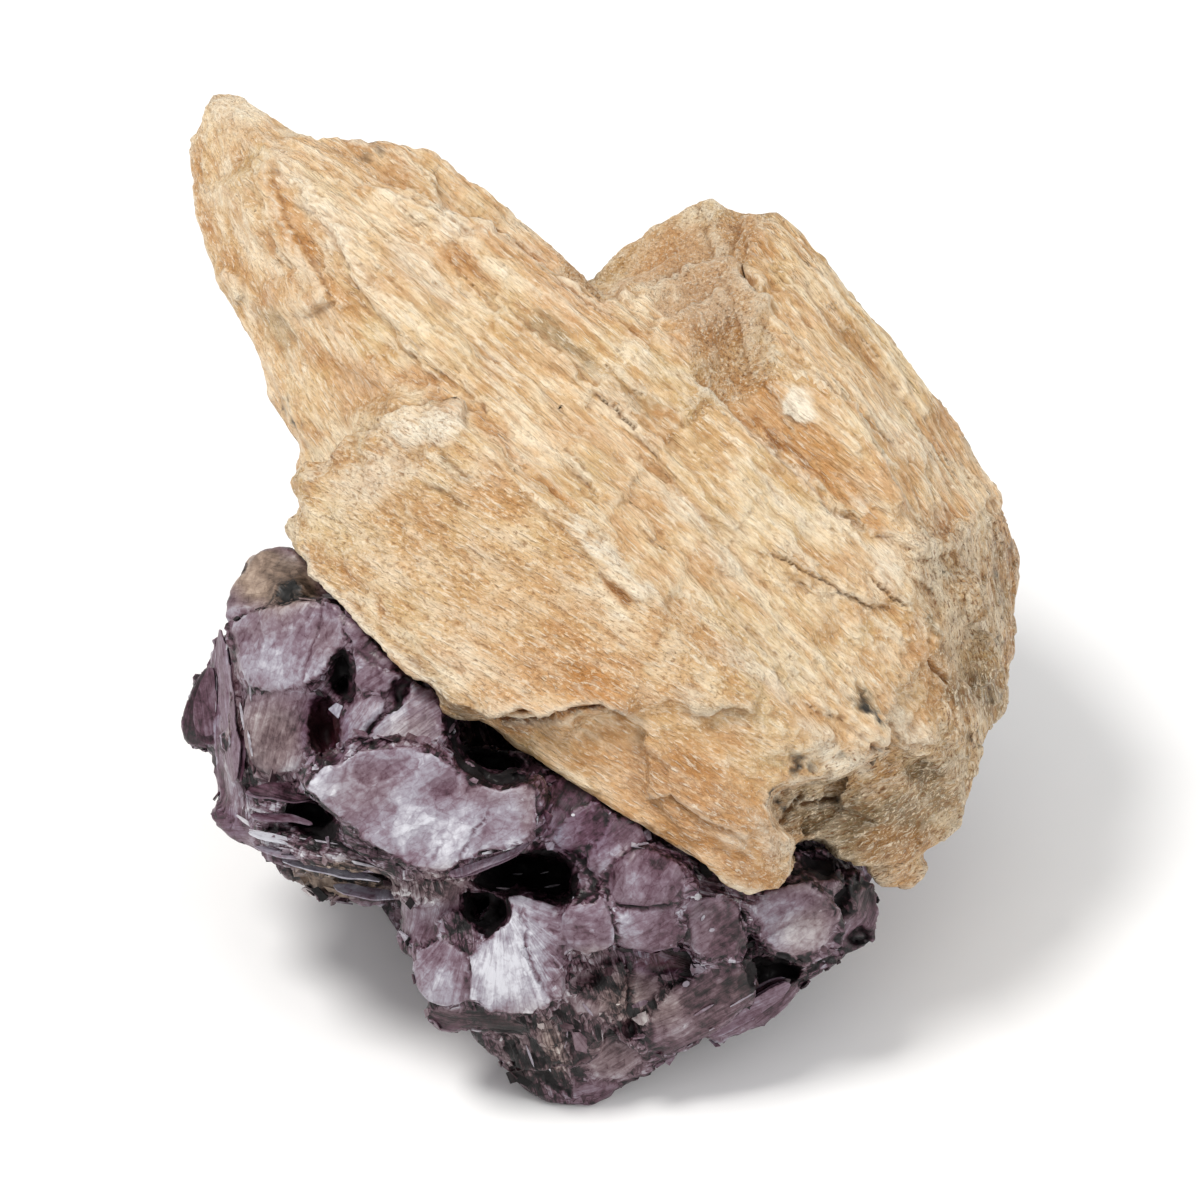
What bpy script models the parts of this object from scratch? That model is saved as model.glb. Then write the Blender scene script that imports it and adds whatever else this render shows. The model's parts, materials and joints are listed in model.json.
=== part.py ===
"""Lepidolite specimen: tan feldspar blades grown together with a mass of purple mica books.

Metres, +Z up. The origin is at the bottom of the bounding box, under its middle, and the flat base lies
on z = 0. The shapes are sighted from one side: a point is given as two pixels of a 1200-pixel square
sighting frame and a depth in millimetres towards the viewer, and spot() turns it into a place in space.
"""

import math
import random

import bmesh
import bpy
from mathutils import Matrix, Vector
from mathutils.bvhtree import BVHTree

# Driving dimensions.
SPECIMEN_WIDTH = 0.076
OUTLINE_LEFT, OUTLINE_RIGHT = 177, 1023
FRAME_CENTRE = 600
PIXEL = SPECIMEN_WIDTH / (OUTLINE_RIGHT - OUTLINE_LEFT)
SIGHT_ELEVATION = math.radians(38)
SIGHT_DISTANCE = 0.9
SIGHT_HEIGHT = 0.0366  # of the sighting frame's centre over the resting face
GAP = 0.0004  # between the feldspar and the mica bed that is cut for it

HIDDEN_BOOKS = 40
SHOWN_BOOKS = 26
SPLINTERS = 34
ACROSS = Vector((1, 0, 0))
UP = Vector((0, math.sin(SIGHT_ELEVATION), math.cos(SIGHT_ELEVATION)))
OUT = Vector((0, -math.cos(SIGHT_ELEVATION), math.sin(SIGHT_ELEVATION)))
MM = 0.001

# Feldspar blades, each the convex hull of its points: (pixel across, pixel down, depth in mm).
FELDSPAR_BLADES = {
    "main_blade": [
        (204, 100, -7), (232, 91, -7), (250, 101, -6), (187, 150, -9), (192, 205, -7),
        (205, 255, -5), (236, 307, -3), (262, 345, -2), (270, 152, 1), (335, 245, 6.5),
        (450, 372, 11.5), (560, 470, 14), (700, 600, 14.5), (830, 700, 12), (930, 765, 5),
        (330, 152, -2), (440, 222, 2), (560, 312, 5), (690, 410, 7), (850, 545, 8),
        (940, 640, 6), (985, 710, 0), (300, 440, 4), (400, 520, 9), (960, 790, -2),
        (232, 115, -15), (330, 170, -18), (600, 350, -22), (900, 600, -20), (950, 760, -18),
        (700, 720, -14), (330, 440, -9), (215, 255, -13),
    ],
    "back_sheet": [
        (322, 139, -3.5), (345, 138, -6), (380, 149, -5), (430, 156, -5), (482, 192, -4.5),
        (545, 238, -4), (597, 287, -4), (700, 385, -2), (850, 530, -2), (350, 190, -3),
        (450, 260, 1), (700, 480, 4), (345, 150, -15), (480, 200, -19), (600, 300, -21),
        (850, 560, -20),
    ],
    "upper_tier": [
        (432, 216, 4), (472, 221, 3.4), (500, 236, 3.6), (560, 284, 5), (640, 324, 6.2),
        (676, 348, 6.6), (692, 375, 7.4), (765, 442, 8.4), (838, 512, 8.6), (905, 590, 7.5),
        (428, 246, 4.6), (480, 286, 6.2), (560, 360, 8.8), (640, 440, 10.6), (730, 530, 11.6),
        (820, 620, 11.4), (900, 690, 9), (470, 260, -6), (640, 360, -8), (850, 560, -6),
        (880, 680, -4),
    ],
    "lower_left_heel": [
        (262, 345, -1), (266, 395, -1), (300, 450, 2), (312, 470, 4), (330, 320, 5),
        (400, 350, 9), (450, 390, 11.4), (450, 430, 11.5), (400, 480, 10), (290, 380, -9),
        (330, 450, -8), (430, 430, -6),
    ],
    "front_block": [
        (440, 416, 14.5), (402, 420, 12.5), (380, 436, 11.6), (345, 458, 10.5), (318, 478, 9.5),
        (300, 502, 9), (290, 532, 8.6), (292, 548, 9), (330, 592, 11.5), (398, 664, 15),
        (452, 706, 17), (520, 718, 18.2), (600, 712, 19.2), (690, 692, 19.6), (790, 716, 17),
        (462, 428, 16), (512, 468, 17.4), (562, 512, 18.4), (650, 600, 19.4), (745, 680, 18.4),
        (320, 520, 0), (470, 560, 0), (450, 690, 6), (650, 680, 4), (780, 700, 3),
    ],
    "merging_blade": [
        (562, 512, 18), (650, 600, 19), (745, 680, 18), (850, 746, 13.6), (876, 738, 12), (900, 700, 9.4),
        (824, 622, 11.2), (735, 532, 11.6), (660, 490, 13), (600, 490, 14.8), (560, 490, 15),
        (700, 600, 6), (860, 700, 2),
    ],
    "lower_tier": [
        (455, 704, 14.5), (520, 742, 14.6), (585, 776, 14.8), (640, 826, 14.4), (705, 866, 13.6),
        (520, 716, 15.6), (600, 710, 16.6), (690, 700, 17.2), (700, 760, 16.4), (720, 840, 14.6),
        (500, 720, 4), (660, 820, 4), (720, 700, 2),
    ],
    "tail": [
        (672, 690, 19), (745, 682, 18.6), (800, 716, 16.6), (850, 750, 13.8), (872, 750, 12.4),
        (850, 766, 12.6), (795, 782, 13.4), (770, 806, 14), (782, 826, 13.8), (796, 850, 13),
        (796, 872, 11.8), (778, 893, 11.6), (745, 897, 12.2), (722, 888, 13), (690, 842, 15.2),
        (650, 790, 16.4), (640, 740, 17.6), (740, 800, 16.4), (760, 850, 15), (700, 760, 5),
        (740, 870, 6), (784, 850, 6), (840, 750, 3),
    ],
    "foot_block": [
        (780, 796, 4), (800, 836, 3.4), (832, 860, 3), (868, 868, 2), (906, 866, -1),
        (940, 846, -3.4), (962, 828, -5), (968, 790, -4), (984, 745, -3), (905, 740, 5.6),
        (850, 770, 4.4), (820, 800, -12), (880, 860, -12), (950, 820, -15), (970, 740, -16),
    ],
    "foot_nub": [
        (862, 872, -2), (906, 862, -3), (922, 868, -5), (915, 884, -5), (882, 890, -3.4),
        (880, 850, -8), (915, 860, -12), (890, 885, -9),
    ],
    "right_blade": [
        (755, 213, -6), (778, 211, -6), (800, 230, -7), (834, 272, -7), (852, 305, -7),
        (914, 388, -7), (946, 410, -8), (976, 457, -9.6), (997, 490, -10.6), (1002, 505, -10),
        (748, 262, -1), (746, 302, 2), (748, 352, 4), (756, 386, 5.6), (850, 420, 6),
        (905, 520, 7.2), (960, 560, 2), (935, 600, 5), (770, 232, -20), (850, 320, -26),
        (950, 440, -26), (985, 520, -24), (760, 300, -16), (850, 480, -14), (900, 590, -12),
    ],
    "right_peak": [
        (590, 282, -12), (604, 264, -12.6), (626, 243, -12), (655, 230, -10.6), (690, 204, -9),
        (708, 199, -9), (724, 213, -8), (760, 216, -6.4), (706, 262, -3), (744, 296, -0.6),
        (650, 300, -5), (640, 330, -3), (612, 264, -24), (700, 217, -24), (760, 240, -24),
        (700, 340, -18), (800, 330, -20),
    ],
    "right_step": [
        (636, 322, -3.4), (660, 290, -4), (700, 270, -2.6), (728, 266, -2), (746, 288, 0.8),
        (752, 302, 2.2), (750, 352, 4.2), (756, 390, 6), (716, 396, 1.4), (672, 350, -1.4),
        (800, 340, 4), (860, 416, 6.8), (905, 500, 8), (880, 545, 6), (834, 506, 3),
        (820, 470, 5), (770, 402, 5.6), (700, 320, -14), (800, 400, -12), (880, 520, -8),
    ],
    "saddle": [
        (836, 512, 4), (880, 512, 6.6), (925, 530, 5.4), (965, 560, 1), (985, 610, -3),
        (940, 650, 6.4), (900, 690, 8.6), (850, 560, 8.8), (905, 600, 8.4), (880, 560, -8),
        (960, 620, -10), (900, 680, -6),
    ],
    "rough_side": [
        (925, 545, 4), (965, 522, 0), (1003, 514, -9.6), (1003, 542, -10.4), (1019, 549, -13),
        (1021, 562, -13.4), (1013, 600, -14), (1007, 640, -13), (1005, 672, -11.6),
        (1010, 697, -11.4), (1001, 716, -10), (984, 748, -7), (935, 640, 5.6), (950, 700, 3),
        (985, 540, -26), (980, 690, -24), (900, 600, -14), (930, 740, -16),
    ],
    "rear_blade": [
        (330, 200, -14), (560, 300, -16), (860, 520, -15), (940, 680, -14), (400, 300, -30),
        (560, 330, -33), (820, 520, -36), (900, 640, -33), (640, 560, -32), (420, 420, -24),
    ],
}

# Thin sheets that lie on the blades: height over the face in mm, and the outline in pixels.
FELDSPAR_SHEETS = {
    "crack_sheet": (0.7, [
        (640, 420), (700, 452), (800, 535), (872, 578), (892, 606), (845, 594), (800, 578), (760, 550),
        (690, 500)]),
    "pale_sheet": (0.5, [(520, 400), (570, 430), (640, 480), (742, 560), (738, 574), (690, 548), (600, 490)]),
    "ridge_sheet": (0.6, [(262, 130), (312, 160), (372, 225), (436, 300), (476, 356), (420, 330), (330, 235)]),
    "ridge_low_sheet": (0.5, [(424, 330), (470, 360), (540, 430), (610, 520), (560, 480), (480, 400)]),
    "left_sheet": (0.6, [
        (204, 130), (240, 118), (268, 160), (276, 190), (298, 246), (262, 230), (226, 200), (206, 170)]),
    "left_low_sheet": (0.6, [
        (238, 262), (300, 250), (322, 276), (352, 330), (390, 384), (340, 360), (276, 320), (252, 296)]),
    "top_sheet": (0.6, [(340, 160), (400, 166), (462, 202), (440, 214), (394, 190)]),
    "top_low_sheet": (0.5, [(470, 232), (520, 250), (620, 330), (690, 400), (640, 376), (540, 300)]),
    "stain_sheet": (0.6, [(330, 400), (390, 372), (440, 380), (462, 404), (420, 404), (380, 418), (340, 440)]),
    "front_sheet": (0.5, [(350, 484), (430, 446), (470, 462), (560, 550), (600, 600), (500, 560), (410, 516)]),
    "front_low_sheet": (0.5, [
        (316, 540), (400, 560), (490, 616), (580, 690), (500, 700), (430, 670), (360, 600)]),
    "front_right_sheet": (0.6, [(590, 600), (660, 628), (742, 690), (760, 730), (690, 716), (630, 656)]),
    "tail_sheet": (0.6, [(650, 750), (720, 770), (768, 830), (786, 872), (740, 866), (690, 810)]),
    "tail_top_sheet": (0.6, [(752, 700), (800, 716), (846, 748), (820, 764), (776, 760), (744, 732)]),
    "shelf_sheet": (0.6, [(780, 640), (850, 660), (910, 730), (870, 716), (820, 690)]),
    "right_sheet": (0.6, [
        (780, 234), (806, 250), (870, 350), (950, 452), (966, 490), (880, 410), (820, 330), (786, 280)]),
    "right_low_sheet": (0.5, [(762, 330), (810, 360), (870, 430), (912, 506), (868, 476), (800, 400)]),
    "right_front_sheet": (0.6, [(650, 306), (700, 280), (736, 300), (738, 348), (700, 356), (668, 332)]),
    "peak_sheet": (0.6, [(606, 280), (650, 248), (694, 224), (716, 236), (690, 258), (640, 276)]),
    "foot_sheet": (0.6, [(850, 784), (900, 760), (944, 780), (942, 826), (900, 846), (858, 826)]),
}

# Rounded lumps of broken ends: (across, down, depth, radius), in pixels and mm.
BROKEN_LUMPS = [
    (322, 490, 6.8, 3.4), (362, 466, 8.2, 3.6), (408, 440, 10.4, 3.8), (442, 440, 12.0, 3.2),
    (312, 530, 6.6, 2.8), (316, 462, 2.0, 2.2), (862, 742, 10.2, 2.4), (826, 752, 11.4, 2.4),
    (906, 738, 3.2, 3.0), (232, 118, -10, 2.6), (700, 230, -11.5, 2.9), (906, 866, -6.0, 2.4),
    (1004, 556, -15, 1.7), (992, 700, -13, 2.2), (640, 268, -14.5, 3.2), (470, 690, 13.6, 3.2),
    (560, 704, 15.4, 3.2), (650, 700, 16.0, 3.0), (960, 600, 0.6, 3.2), (975, 660, -3.0, 3.0),
]

# Mica books that show: depth in mm, lean of the plate to the right and up in degrees, thickness in mm,
# and the outline in pixels. Each is a convex slab.
MICA_BOOKS = {
    "great_plate": (17.2, -4, -12, 2.6, [
        (312, 790), (344, 762), (400, 745), (470, 772), (538, 784), (536, 826), (514, 848),
        (462, 864), (440, 872), (398, 864), (364, 842), (330, 816)]),
    "great_plate_bed": (14.6, -4, -12, 3.0, [
        (322, 800), (372, 752), (470, 764), (548, 790), (540, 846), (470, 880), (400, 882), (350, 850)]),
    "shoulder_plate": (8.4, -30, 6, 2.4, [
        (221, 624), (262, 606), (320, 597), (346, 618), (352, 640), (318, 682), (290, 716),
        (254, 704), (232, 672)]),
    "shoulder_under": (4.6, -34, -4, 2.6, [
        (230, 660), (300, 690), (322, 740), (300, 776), (252, 782), (226, 730)]),
    "brown_plate": (3.0, -24, 26, 2.2, [
        (224, 616), (232, 584), (246, 552), (286, 545), (322, 566), (332, 604), (262, 612)]),
    "left_flake": (-5.0, -40, -4, 1.6, [
        (179, 716), (190, 680), (216, 654), (232, 690), (224, 744), (200, 750), (182, 745)]),
    "left_spine": (-2.0, -62, -6, 3.0, [
        (210, 640), (236, 628), (246, 700), (248, 800), (236, 834), (216, 800), (206, 740)]),
    "left_heel": (-2.0, -30, -40, 2.0, [
        (208, 818), (226, 808), (262, 826), (300, 858), (262, 856), (228, 836)]),
    "lamella_top": (4.0, 6, 66, 1.6, [
        (238, 786), (300, 800), (372, 830), (408, 862), (330, 856), (262, 832)]),
    "lamella_middle": (2.6, 4, 60, 1.6, [
        (246, 818), (300, 832), (404, 868), (398, 880), (322, 866), (262, 846)]),
    "lamella_low": (0.4, 2, 40, 1.8, [
        (300, 858), (382, 872), (384, 896), (346, 890), (322, 892), (306, 876)]),
    "lamella_tip": (-1.6, -10, 20, 1.6, [
        (262, 846), (298, 860), (300, 878), (284, 876), (270, 860)]),
    "under_plate": (12.6, -10, 8, 2.0, [
        (346, 632), (398, 664), (408, 690), (372, 706), (352, 688)]),
    "inner_plate": (13.2, -16, 16, 2.0, [
        (372, 706), (410, 676), (446, 708), (448, 742), (400, 748), (366, 738)]),
    "inner_chip": (11.0, -20, -10, 1.8, [
        (342, 702), (372, 700), (378, 730), (350, 752), (334, 736)]),
    "throat_plate": (13.2, 16, 10, 2.0, [
        (540, 756), (586, 776), (616, 812), (600, 852), (560, 846), (540, 806)]),
    "throat_chip": (12.8, -14, -22, 1.8, [
        (588, 800), (640, 830), (650, 858), (612, 870), (590, 846)]),
    "hex_plate_a": (13.6, -6, -8, 2.2, [
        (610, 884), (624, 856), (656, 848), (690, 864), (698, 892), (672, 912), (636, 908)]),
    "hex_plate_b": (12.2, -10, -24, 2.0, [
        (562, 922), (576, 902), (602, 898), (618, 916), (612, 946), (586, 958), (566, 946)]),
    "hex_plate_c": (11.8, 0, -22, 2.0, [
        (616, 914), (642, 904), (674, 914), (680, 940), (656, 958), (622, 952)]),
    "sparkle_bed": (9.6, 10, -14, 2.0, [
        (684, 900), (730, 898), (752, 926), (742, 962), (700, 966), (680, 940)]),
    "fan_left": (9.0, -22, -20, 2.2, [
        (408, 956), (440, 942), (466, 962), (466, 1000), (444, 1008), (420, 996)]),
    "fan_right": (10.6, -2, -26, 2.4, [
        (464, 972), (486, 936), (516, 920), (548, 942), (566, 968), (562, 1002), (528, 1020),
        (490, 1016), (470, 1000)]),
    "fan_cheek": (10.6, 26, -6, 2.0, [
        (520, 908), (548, 916), (580, 950), (572, 972), (548, 950)]),
    "wrinkle_plate": (8.2, -26, -4, 2.2, [
        (398, 900), (440, 880), (462, 900), (462, 926), (430, 942), (408, 926)]),
    "fan_ledge": (4.6, -12, -44, 2.0, [
        (424, 1010), (466, 1002), (530, 1018), (520, 1034), (472, 1030), (440, 1034), (426, 1024)]),
    "right_plate": (6.0, 14, -10, 2.4, [
        (752, 930), (758, 904), (792, 886), (832, 900), (848, 930), (836, 956), (804, 968), (770, 956)]),
    "right_shade": (4.0, -10, 10, 2.0, [
        (794, 852), (820, 842), (836, 868), (826, 900), (800, 892)]),
    "right_corner": (-2.4, 30, -4, 2.0, [
        (846, 890), (876, 884), (880, 912), (878, 942), (852, 950), (840, 920)]),
    "streak_plate": (4.4, 12, -34, 2.4, [
        (650, 1030), (664, 990), (704, 966), (752, 962), (756, 1000), (720, 1034), (668, 1058)]),
    "streak_under": (-0.6, 26, -40, 2.2, [
        (700, 1036), (752, 990), (800, 970), (798, 996), (762, 1028), (720, 1046)]),
    "right_keel": (-0.6, 34, -24, 2.0, [
        (770, 958), (830, 956), (850, 952), (818, 974), (796, 996), (764, 990)]),
    "tip_plate": (0.6, -6, -30, 2.4, [
        (596, 1040), (630, 1030), (664, 1060), (636, 1086), (600, 1080)]),
    "tip_flakes": (-1.0, -22, -20, 2.4, [
        (500, 1040), (548, 1036), (584, 1066), (580, 1104), (540, 1104), (510, 1080)]),
    "crumb_a": (5.6, 10, 10, 2.0, [(560, 972), (600, 966), (622, 1000), (596, 1026), (566, 1010)]),
    "crumb_b": (5.0, -20, -10, 2.0, [(606, 966), (650, 958), (664, 990), (640, 1012), (612, 1000)]),
}

# The mica mass under the books: convex hulls, in the same units as the blades.
MICA_CORE = {
    "left_mass": [
        (252, 570, 0), (234, 640, 2), (226, 700, -2), (236, 780, -1), (262, 834, -1), (330, 862, -1),
        (390, 868, 3), (330, 600, 8), (398, 672, 11), (420, 750, 12), (398, 850, 12), (322, 800, 6),
        (280, 600, -22), (252, 740, -20), (300, 850, -14), (450, 700, -30), (450, 870, -14),
    ],
    "front_mass": [
        (420, 740, 12), (420, 864, 12), (412, 920, 5), (434, 1000, 4), (486, 1030, 1.6), (506, 1070, 0),
        (545, 1104, -0.6), (592, 1107, -0.6), (640, 1078, -1.4), (560, 960, 8), (600, 850, 10),
        (520, 750, 12), (650, 830, 11), (700, 880, 10), (700, 1000, 3), (700, 1042, -2),
        (420, 800, -20), (600, 800, -30), (520, 1020, -20), (680, 1000, -20),
    ],
    "right_mass": [
        (650, 830, 11), (740, 890, 8), (830, 866, 2), (870, 896, -5), (868, 938, -6), (800, 980, -5),
        (760, 1020, -4), (690, 1044, -3), (650, 1000, 4), (700, 800, -24), (860, 850, -24),
        (800, 950, -20),
    ],
}

# The hidden rear of the mica mass: corners in metres, +Z up, before the origin is centred.
REAR_MASS = [
    (-0.0225, 0.0060, -0.001), (-0.0165, -0.0030, -0.001), (-0.0140, -0.0135, -0.001),
    (-0.0080, -0.0205, -0.001), (-0.0015, -0.0240, -0.001), (0.0036, -0.0205, -0.001),
    (0.0100, -0.0160, -0.001), (0.0157, -0.0115, -0.001), (0.0205, -0.0035, -0.001),
    (0.0245, 0.0030, -0.001), (0.0275, 0.0120, -0.001), (0.0240, 0.0220, -0.001),
    (0.0050, 0.0290, -0.001), (-0.0160, 0.0250, -0.001), (-0.0255, 0.0150, -0.001),
    (-0.0290, 0.0180, 0.017), (-0.0210, 0.0300, 0.020), (0.0040, 0.0350, 0.019), (0.0270, 0.0280, 0.018),
    (0.0310, 0.0160, 0.020), (-0.0200, 0.0240, 0.038), (0.0120, 0.0310, 0.036), (0.0240, 0.0200, 0.032),
]

# Hollows between the books: (across, down, depth, half width, half height, half depth), in pixels and mm,
# and the turn of the long side in degrees.
MICA_HOLLOWS = {
    "upper_hollow": (486, 752, 15.5, 40, 24, 8.0, 34),
    "middle_hollow": (522, 874, 13.5, 50, 22, 8.0, -2),
    "fan_hollow": (488, 912, 12.0, 24, 22, 6.0, 20),
    "slot_hollow": (340, 672, 11.0, 13, 30, 6.0, 4),
    "lamella_hollow": (322, 812, 9.5, 34, 15, 7.0, 14),
    "chip_hollow": (326, 724, 9.5, 18, 26, 4.5, -20),
    "crumb_hollow": (590, 978, 8.8, 16, 12, 4.0, 20),
    "keel_hollow": (758, 974, 4.6, 24, 13, 4.5, 30),
    "shade_hollow": (834, 868, 3.6, 14, 16, 4.0, 30),
    "neck_hollow": (398, 690, 14.5, 13, 10, 4.0, -50),
}

FELDSPAR_COLOUR = (0.60, 0.42, 0.25, 1)
MICA_COLOUR = (0.20, 0.15, 0.20, 1)


def spot(across_px, down_px, depth_mm):
    """The place in space seen at a pixel of the sighting frame, at a depth towards the viewer."""
    depth = depth_mm * MM
    nearer = 1 - depth / SIGHT_DISTANCE
    across = (across_px - FRAME_CENTRE) * PIXEL * nearer
    up = (FRAME_CENTRE - down_px) * PIXEL * nearer
    return Vector((0, 0, SIGHT_HEIGHT)) + ACROSS * across + UP * up + OUT * depth


def clear_scene():
    for obj in list(bpy.data.objects):
        bpy.data.objects.remove(obj)


def new_collection(name):
    collection = bpy.data.collections.new(name)
    bpy.context.scene.collection.children.link(collection)
    return collection


def new_material(name, colour, roughness):
    material = bpy.data.materials.new(name)
    material.use_nodes = True
    shader = material.node_tree.nodes["Principled BSDF"]
    shader.inputs["Base Color"].default_value = colour
    shader.inputs["Roughness"].default_value = roughness
    shader.inputs["Metallic"].default_value = 0
    return material


def mesh_object(name, bm, collection):
    mesh = bpy.data.meshes.new(name)
    bm.to_mesh(mesh)
    bm.free()
    obj = bpy.data.objects.new(name, mesh)
    collection.objects.link(obj)
    return obj


def hull_mesh(points):
    """The convex hull of the points, with its loose corners removed."""
    bm = bmesh.new()
    for point in points:
        bm.verts.new(point)
    made = bmesh.ops.convex_hull(bm, input=bm.verts)
    spare = {v for v in made["geom_interior"] + made["geom_unused"] if isinstance(v, bmesh.types.BMVert)}
    bmesh.ops.delete(bm, geom=list(spare), context="VERTS")
    bmesh.ops.recalc_face_normals(bm, faces=bm.faces)
    return bm


def grown_points(points, distance):
    """The corners of the hull of the points, moved out so that its faces stand the distance proud."""
    bm = hull_mesh(points)
    grown = [v.co + v.normal * distance * min(v.calc_shell_factor(), 3) for v in bm.verts]
    bm.free()
    return grown


def helper(obj):
    """Marks an object that only cuts or joins others."""
    obj.hide_render = True
    obj.display_type = "WIRE"
    return obj


def combine(name, base, others, operation, collection):
    """base joined with, or cut by, every other object, as one new mesh object. All of them are removed."""
    group = new_collection(name + "_" + operation.lower())
    for other in others:
        for home in list(other.users_collection):
            home.objects.unlink(other)
        group.objects.link(other)
    modifier = base.modifiers.new("combine", "BOOLEAN")
    modifier.operation = operation
    modifier.operand_type = "COLLECTION"
    modifier.collection = group
    modifier.solver = "EXACT"
    modifier.use_self = True
    bpy.context.view_layer.update()
    evaluated = base.evaluated_get(bpy.context.evaluated_depsgraph_get())
    mesh = bpy.data.meshes.new_from_object(evaluated)
    for other in list(others) + [base]:
        bpy.data.objects.remove(other)
    bpy.data.collections.remove(group)
    made = bpy.data.objects.new(name, mesh)
    collection.objects.link(made)
    return made


def keep_main_shell(obj):
    """Keeps the largest closed shell, drops crumbs and sealed pockets, and joins faces that lie in one plane."""
    bm = bmesh.new()
    bm.from_mesh(obj.data)
    bmesh.ops.remove_doubles(bm, verts=bm.verts, dist=1e-6)
    unseen = set(bm.faces)
    shells = []
    while unseen:
        shell, edge = set(), [unseen.pop()]
        while edge:
            face = edge.pop()
            shell.add(face)
            near = {other for side in face.edges for other in side.link_faces if other in unseen}
            unseen -= near
            edge += near
        shells.append(shell)
    largest = max(shells, key=lambda shell: sum(face.calc_area() for face in shell))
    drop = [face for shell in shells if shell is not largest for face in shell]
    bmesh.ops.delete(bm, geom=drop, context="FACES")
    bmesh.ops.dissolve_limit(bm, angle_limit=math.radians(0.5), verts=bm.verts, edges=bm.edges)
    bmesh.ops.triangulate(bm, faces=bm.faces)
    bm.to_mesh(obj.data)
    bm.free()


def surface_tree(objects):
    """A search tree of the objects' surfaces."""
    corners, faces = [], []
    for obj in objects:
        first = len(corners)
        corners += [v.co.copy() for v in obj.data.vertices]
        faces += [[first + i for i in p.vertices] for p in obj.data.polygons]
    return BVHTree.FromPolygons(corners, faces)


def sheet_points(tree, height_mm, outline):
    """A thin sheet that follows the sighted surface under its outline, in pixels, and is sunk in it."""
    proud, sunk = [], []
    for across, down in outline:
        viewer = spot(across, down, 60)
        place, normal, _, _ = tree.ray_cast(viewer, -OUT)
        if place is None:
            continue
        proud.append(place + normal * height_mm * MM)
        sunk.append(place - normal * 1.2 * MM)
    middle = sum(proud, Vector()) / len(proud)
    return [middle + (p - middle) * 0.94 for p in proud] + sunk


def splinter_points(place, along, normal, length, width, height):
    """A long low ridge, steep on one side, that lies along a face and is sunk in it."""
    cross = normal.cross(along).normalized()
    sunk = -1.2 * MM
    outline = [
        (-0.5, 0.0, sunk), (-0.3, 0.45, sunk), (-0.3, -0.4, sunk), (0.25, 0.5, sunk), (0.3, -0.5, sunk),
        (0.5, 0.1, sunk), (-0.22, -0.2, height * 0.8), (0.05, 0.1, height), (0.3, -0.15, height * 0.7),
    ]
    return [place + along * a * length + cross * b * width + normal * h for a, b, h in outline]


def lump_points(place, radius, draw):
    """A rounded broken lump with flat chips."""
    points = []
    for i in range(18):
        level = 1 - 2 * (i + 0.5) / 18
        turn = i * 2.4
        ring = math.sqrt(1 - level * level)
        size = radius * draw.uniform(0.72, 1.1)
        points.append(place + Vector((ring * math.cos(turn), ring * math.sin(turn), level)) * size)
    return points


def sampled_faces(obj, count, draw, accept):
    """Places on the object's surface, spread by area: (place, normal)."""
    faces = [(p.area, [obj.data.vertices[i].co.copy() for i in p.vertices], p.normal.copy())
             for p in obj.data.polygons]
    areas = [area for area, _, _ in faces]
    found = []
    while len(found) < count:
        _, corners, normal = draw.choices(faces, areas)[0]
        weights = [draw.random() for _ in corners]
        place = sum((c * w for c, w in zip(corners, weights)), Vector()) / sum(weights)
        if accept(place, normal):
            found.append((place, normal))
    return found


def build_feldspar(parts, work):
    """The feldspar, and the corners of every blade, sheet, splinter and lump it is joined from."""
    hulls = [[spot(*p) for p in points] for points in FELDSPAR_BLADES.values()]
    blades = [mesh_object("blade", hull_mesh(points), work) for points in hulls]
    body = combine("feldspar_body", blades[0], blades[1:], "UNION", work)
    keep_main_shell(body)
    tree = surface_tree([body])
    grain = (spot(930, 700, 4) - spot(240, 110, -6)).normalized()
    draw = random.Random(11)
    details = [sheet_points(tree, *sheet) for sheet in FELDSPAR_SHEETS.values()]
    for across, down, depth, radius in BROKEN_LUMPS:
        details.append(lump_points(spot(across, down, depth), radius * MM, draw))

    def takes_splinter(place, normal):
        if abs(normal.dot(grain)) > 0.6 or normal.dot(OUT) > 0.5:
            return False
        along = (grain - normal * grain.dot(normal)).normalized()
        ends = [place + along * reach * MM for reach in (-5.5, 5.5)]
        return all(tree.find_nearest(end)[3] < 0.3 * MM for end in ends)

    for place, normal in sampled_faces(body, SPLINTERS, draw, takes_splinter):
        along = (grain - normal * grain.dot(normal)).normalized()
        length, width = draw.uniform(7, 11) * MM, draw.uniform(1.6, 3.4) * MM
        details.append(splinter_points(place, along, normal, length, width, draw.uniform(0.5, 0.8) * MM))
    joined = [mesh_object("detail", hull_mesh(points), work) for points in details]
    feldspar = combine("feldspar_crystals", body, joined, "UNION", parts)
    keep_main_shell(feldspar)
    return feldspar, hulls, details


def book_points(depth_mm, lean_right, lean_up, thickness_mm, outline):
    """The corners of a mica book: its outline on a leaning plane, and again one thickness deeper."""
    middle_across = sum(p[0] for p in outline) / len(outline)
    middle_down = sum(p[1] for p in outline) / len(outline)
    slope_right, slope_up = math.tan(math.radians(lean_right)), math.tan(math.radians(lean_up))
    normal = (OUT + ACROSS * slope_right + UP * slope_up).normalized()
    front = []
    for across, down in outline:
        right_mm = (across - middle_across) * PIXEL / MM
        up_mm = (middle_down - down) * PIXEL / MM
        front.append(spot(across, down, depth_mm - slope_right * right_mm - slope_up * up_mm))
    middle = sum(front, Vector()) / len(front)
    back = [middle + (p - middle) * 1.06 - normal * thickness_mm * MM for p in front]
    return front + back


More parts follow.
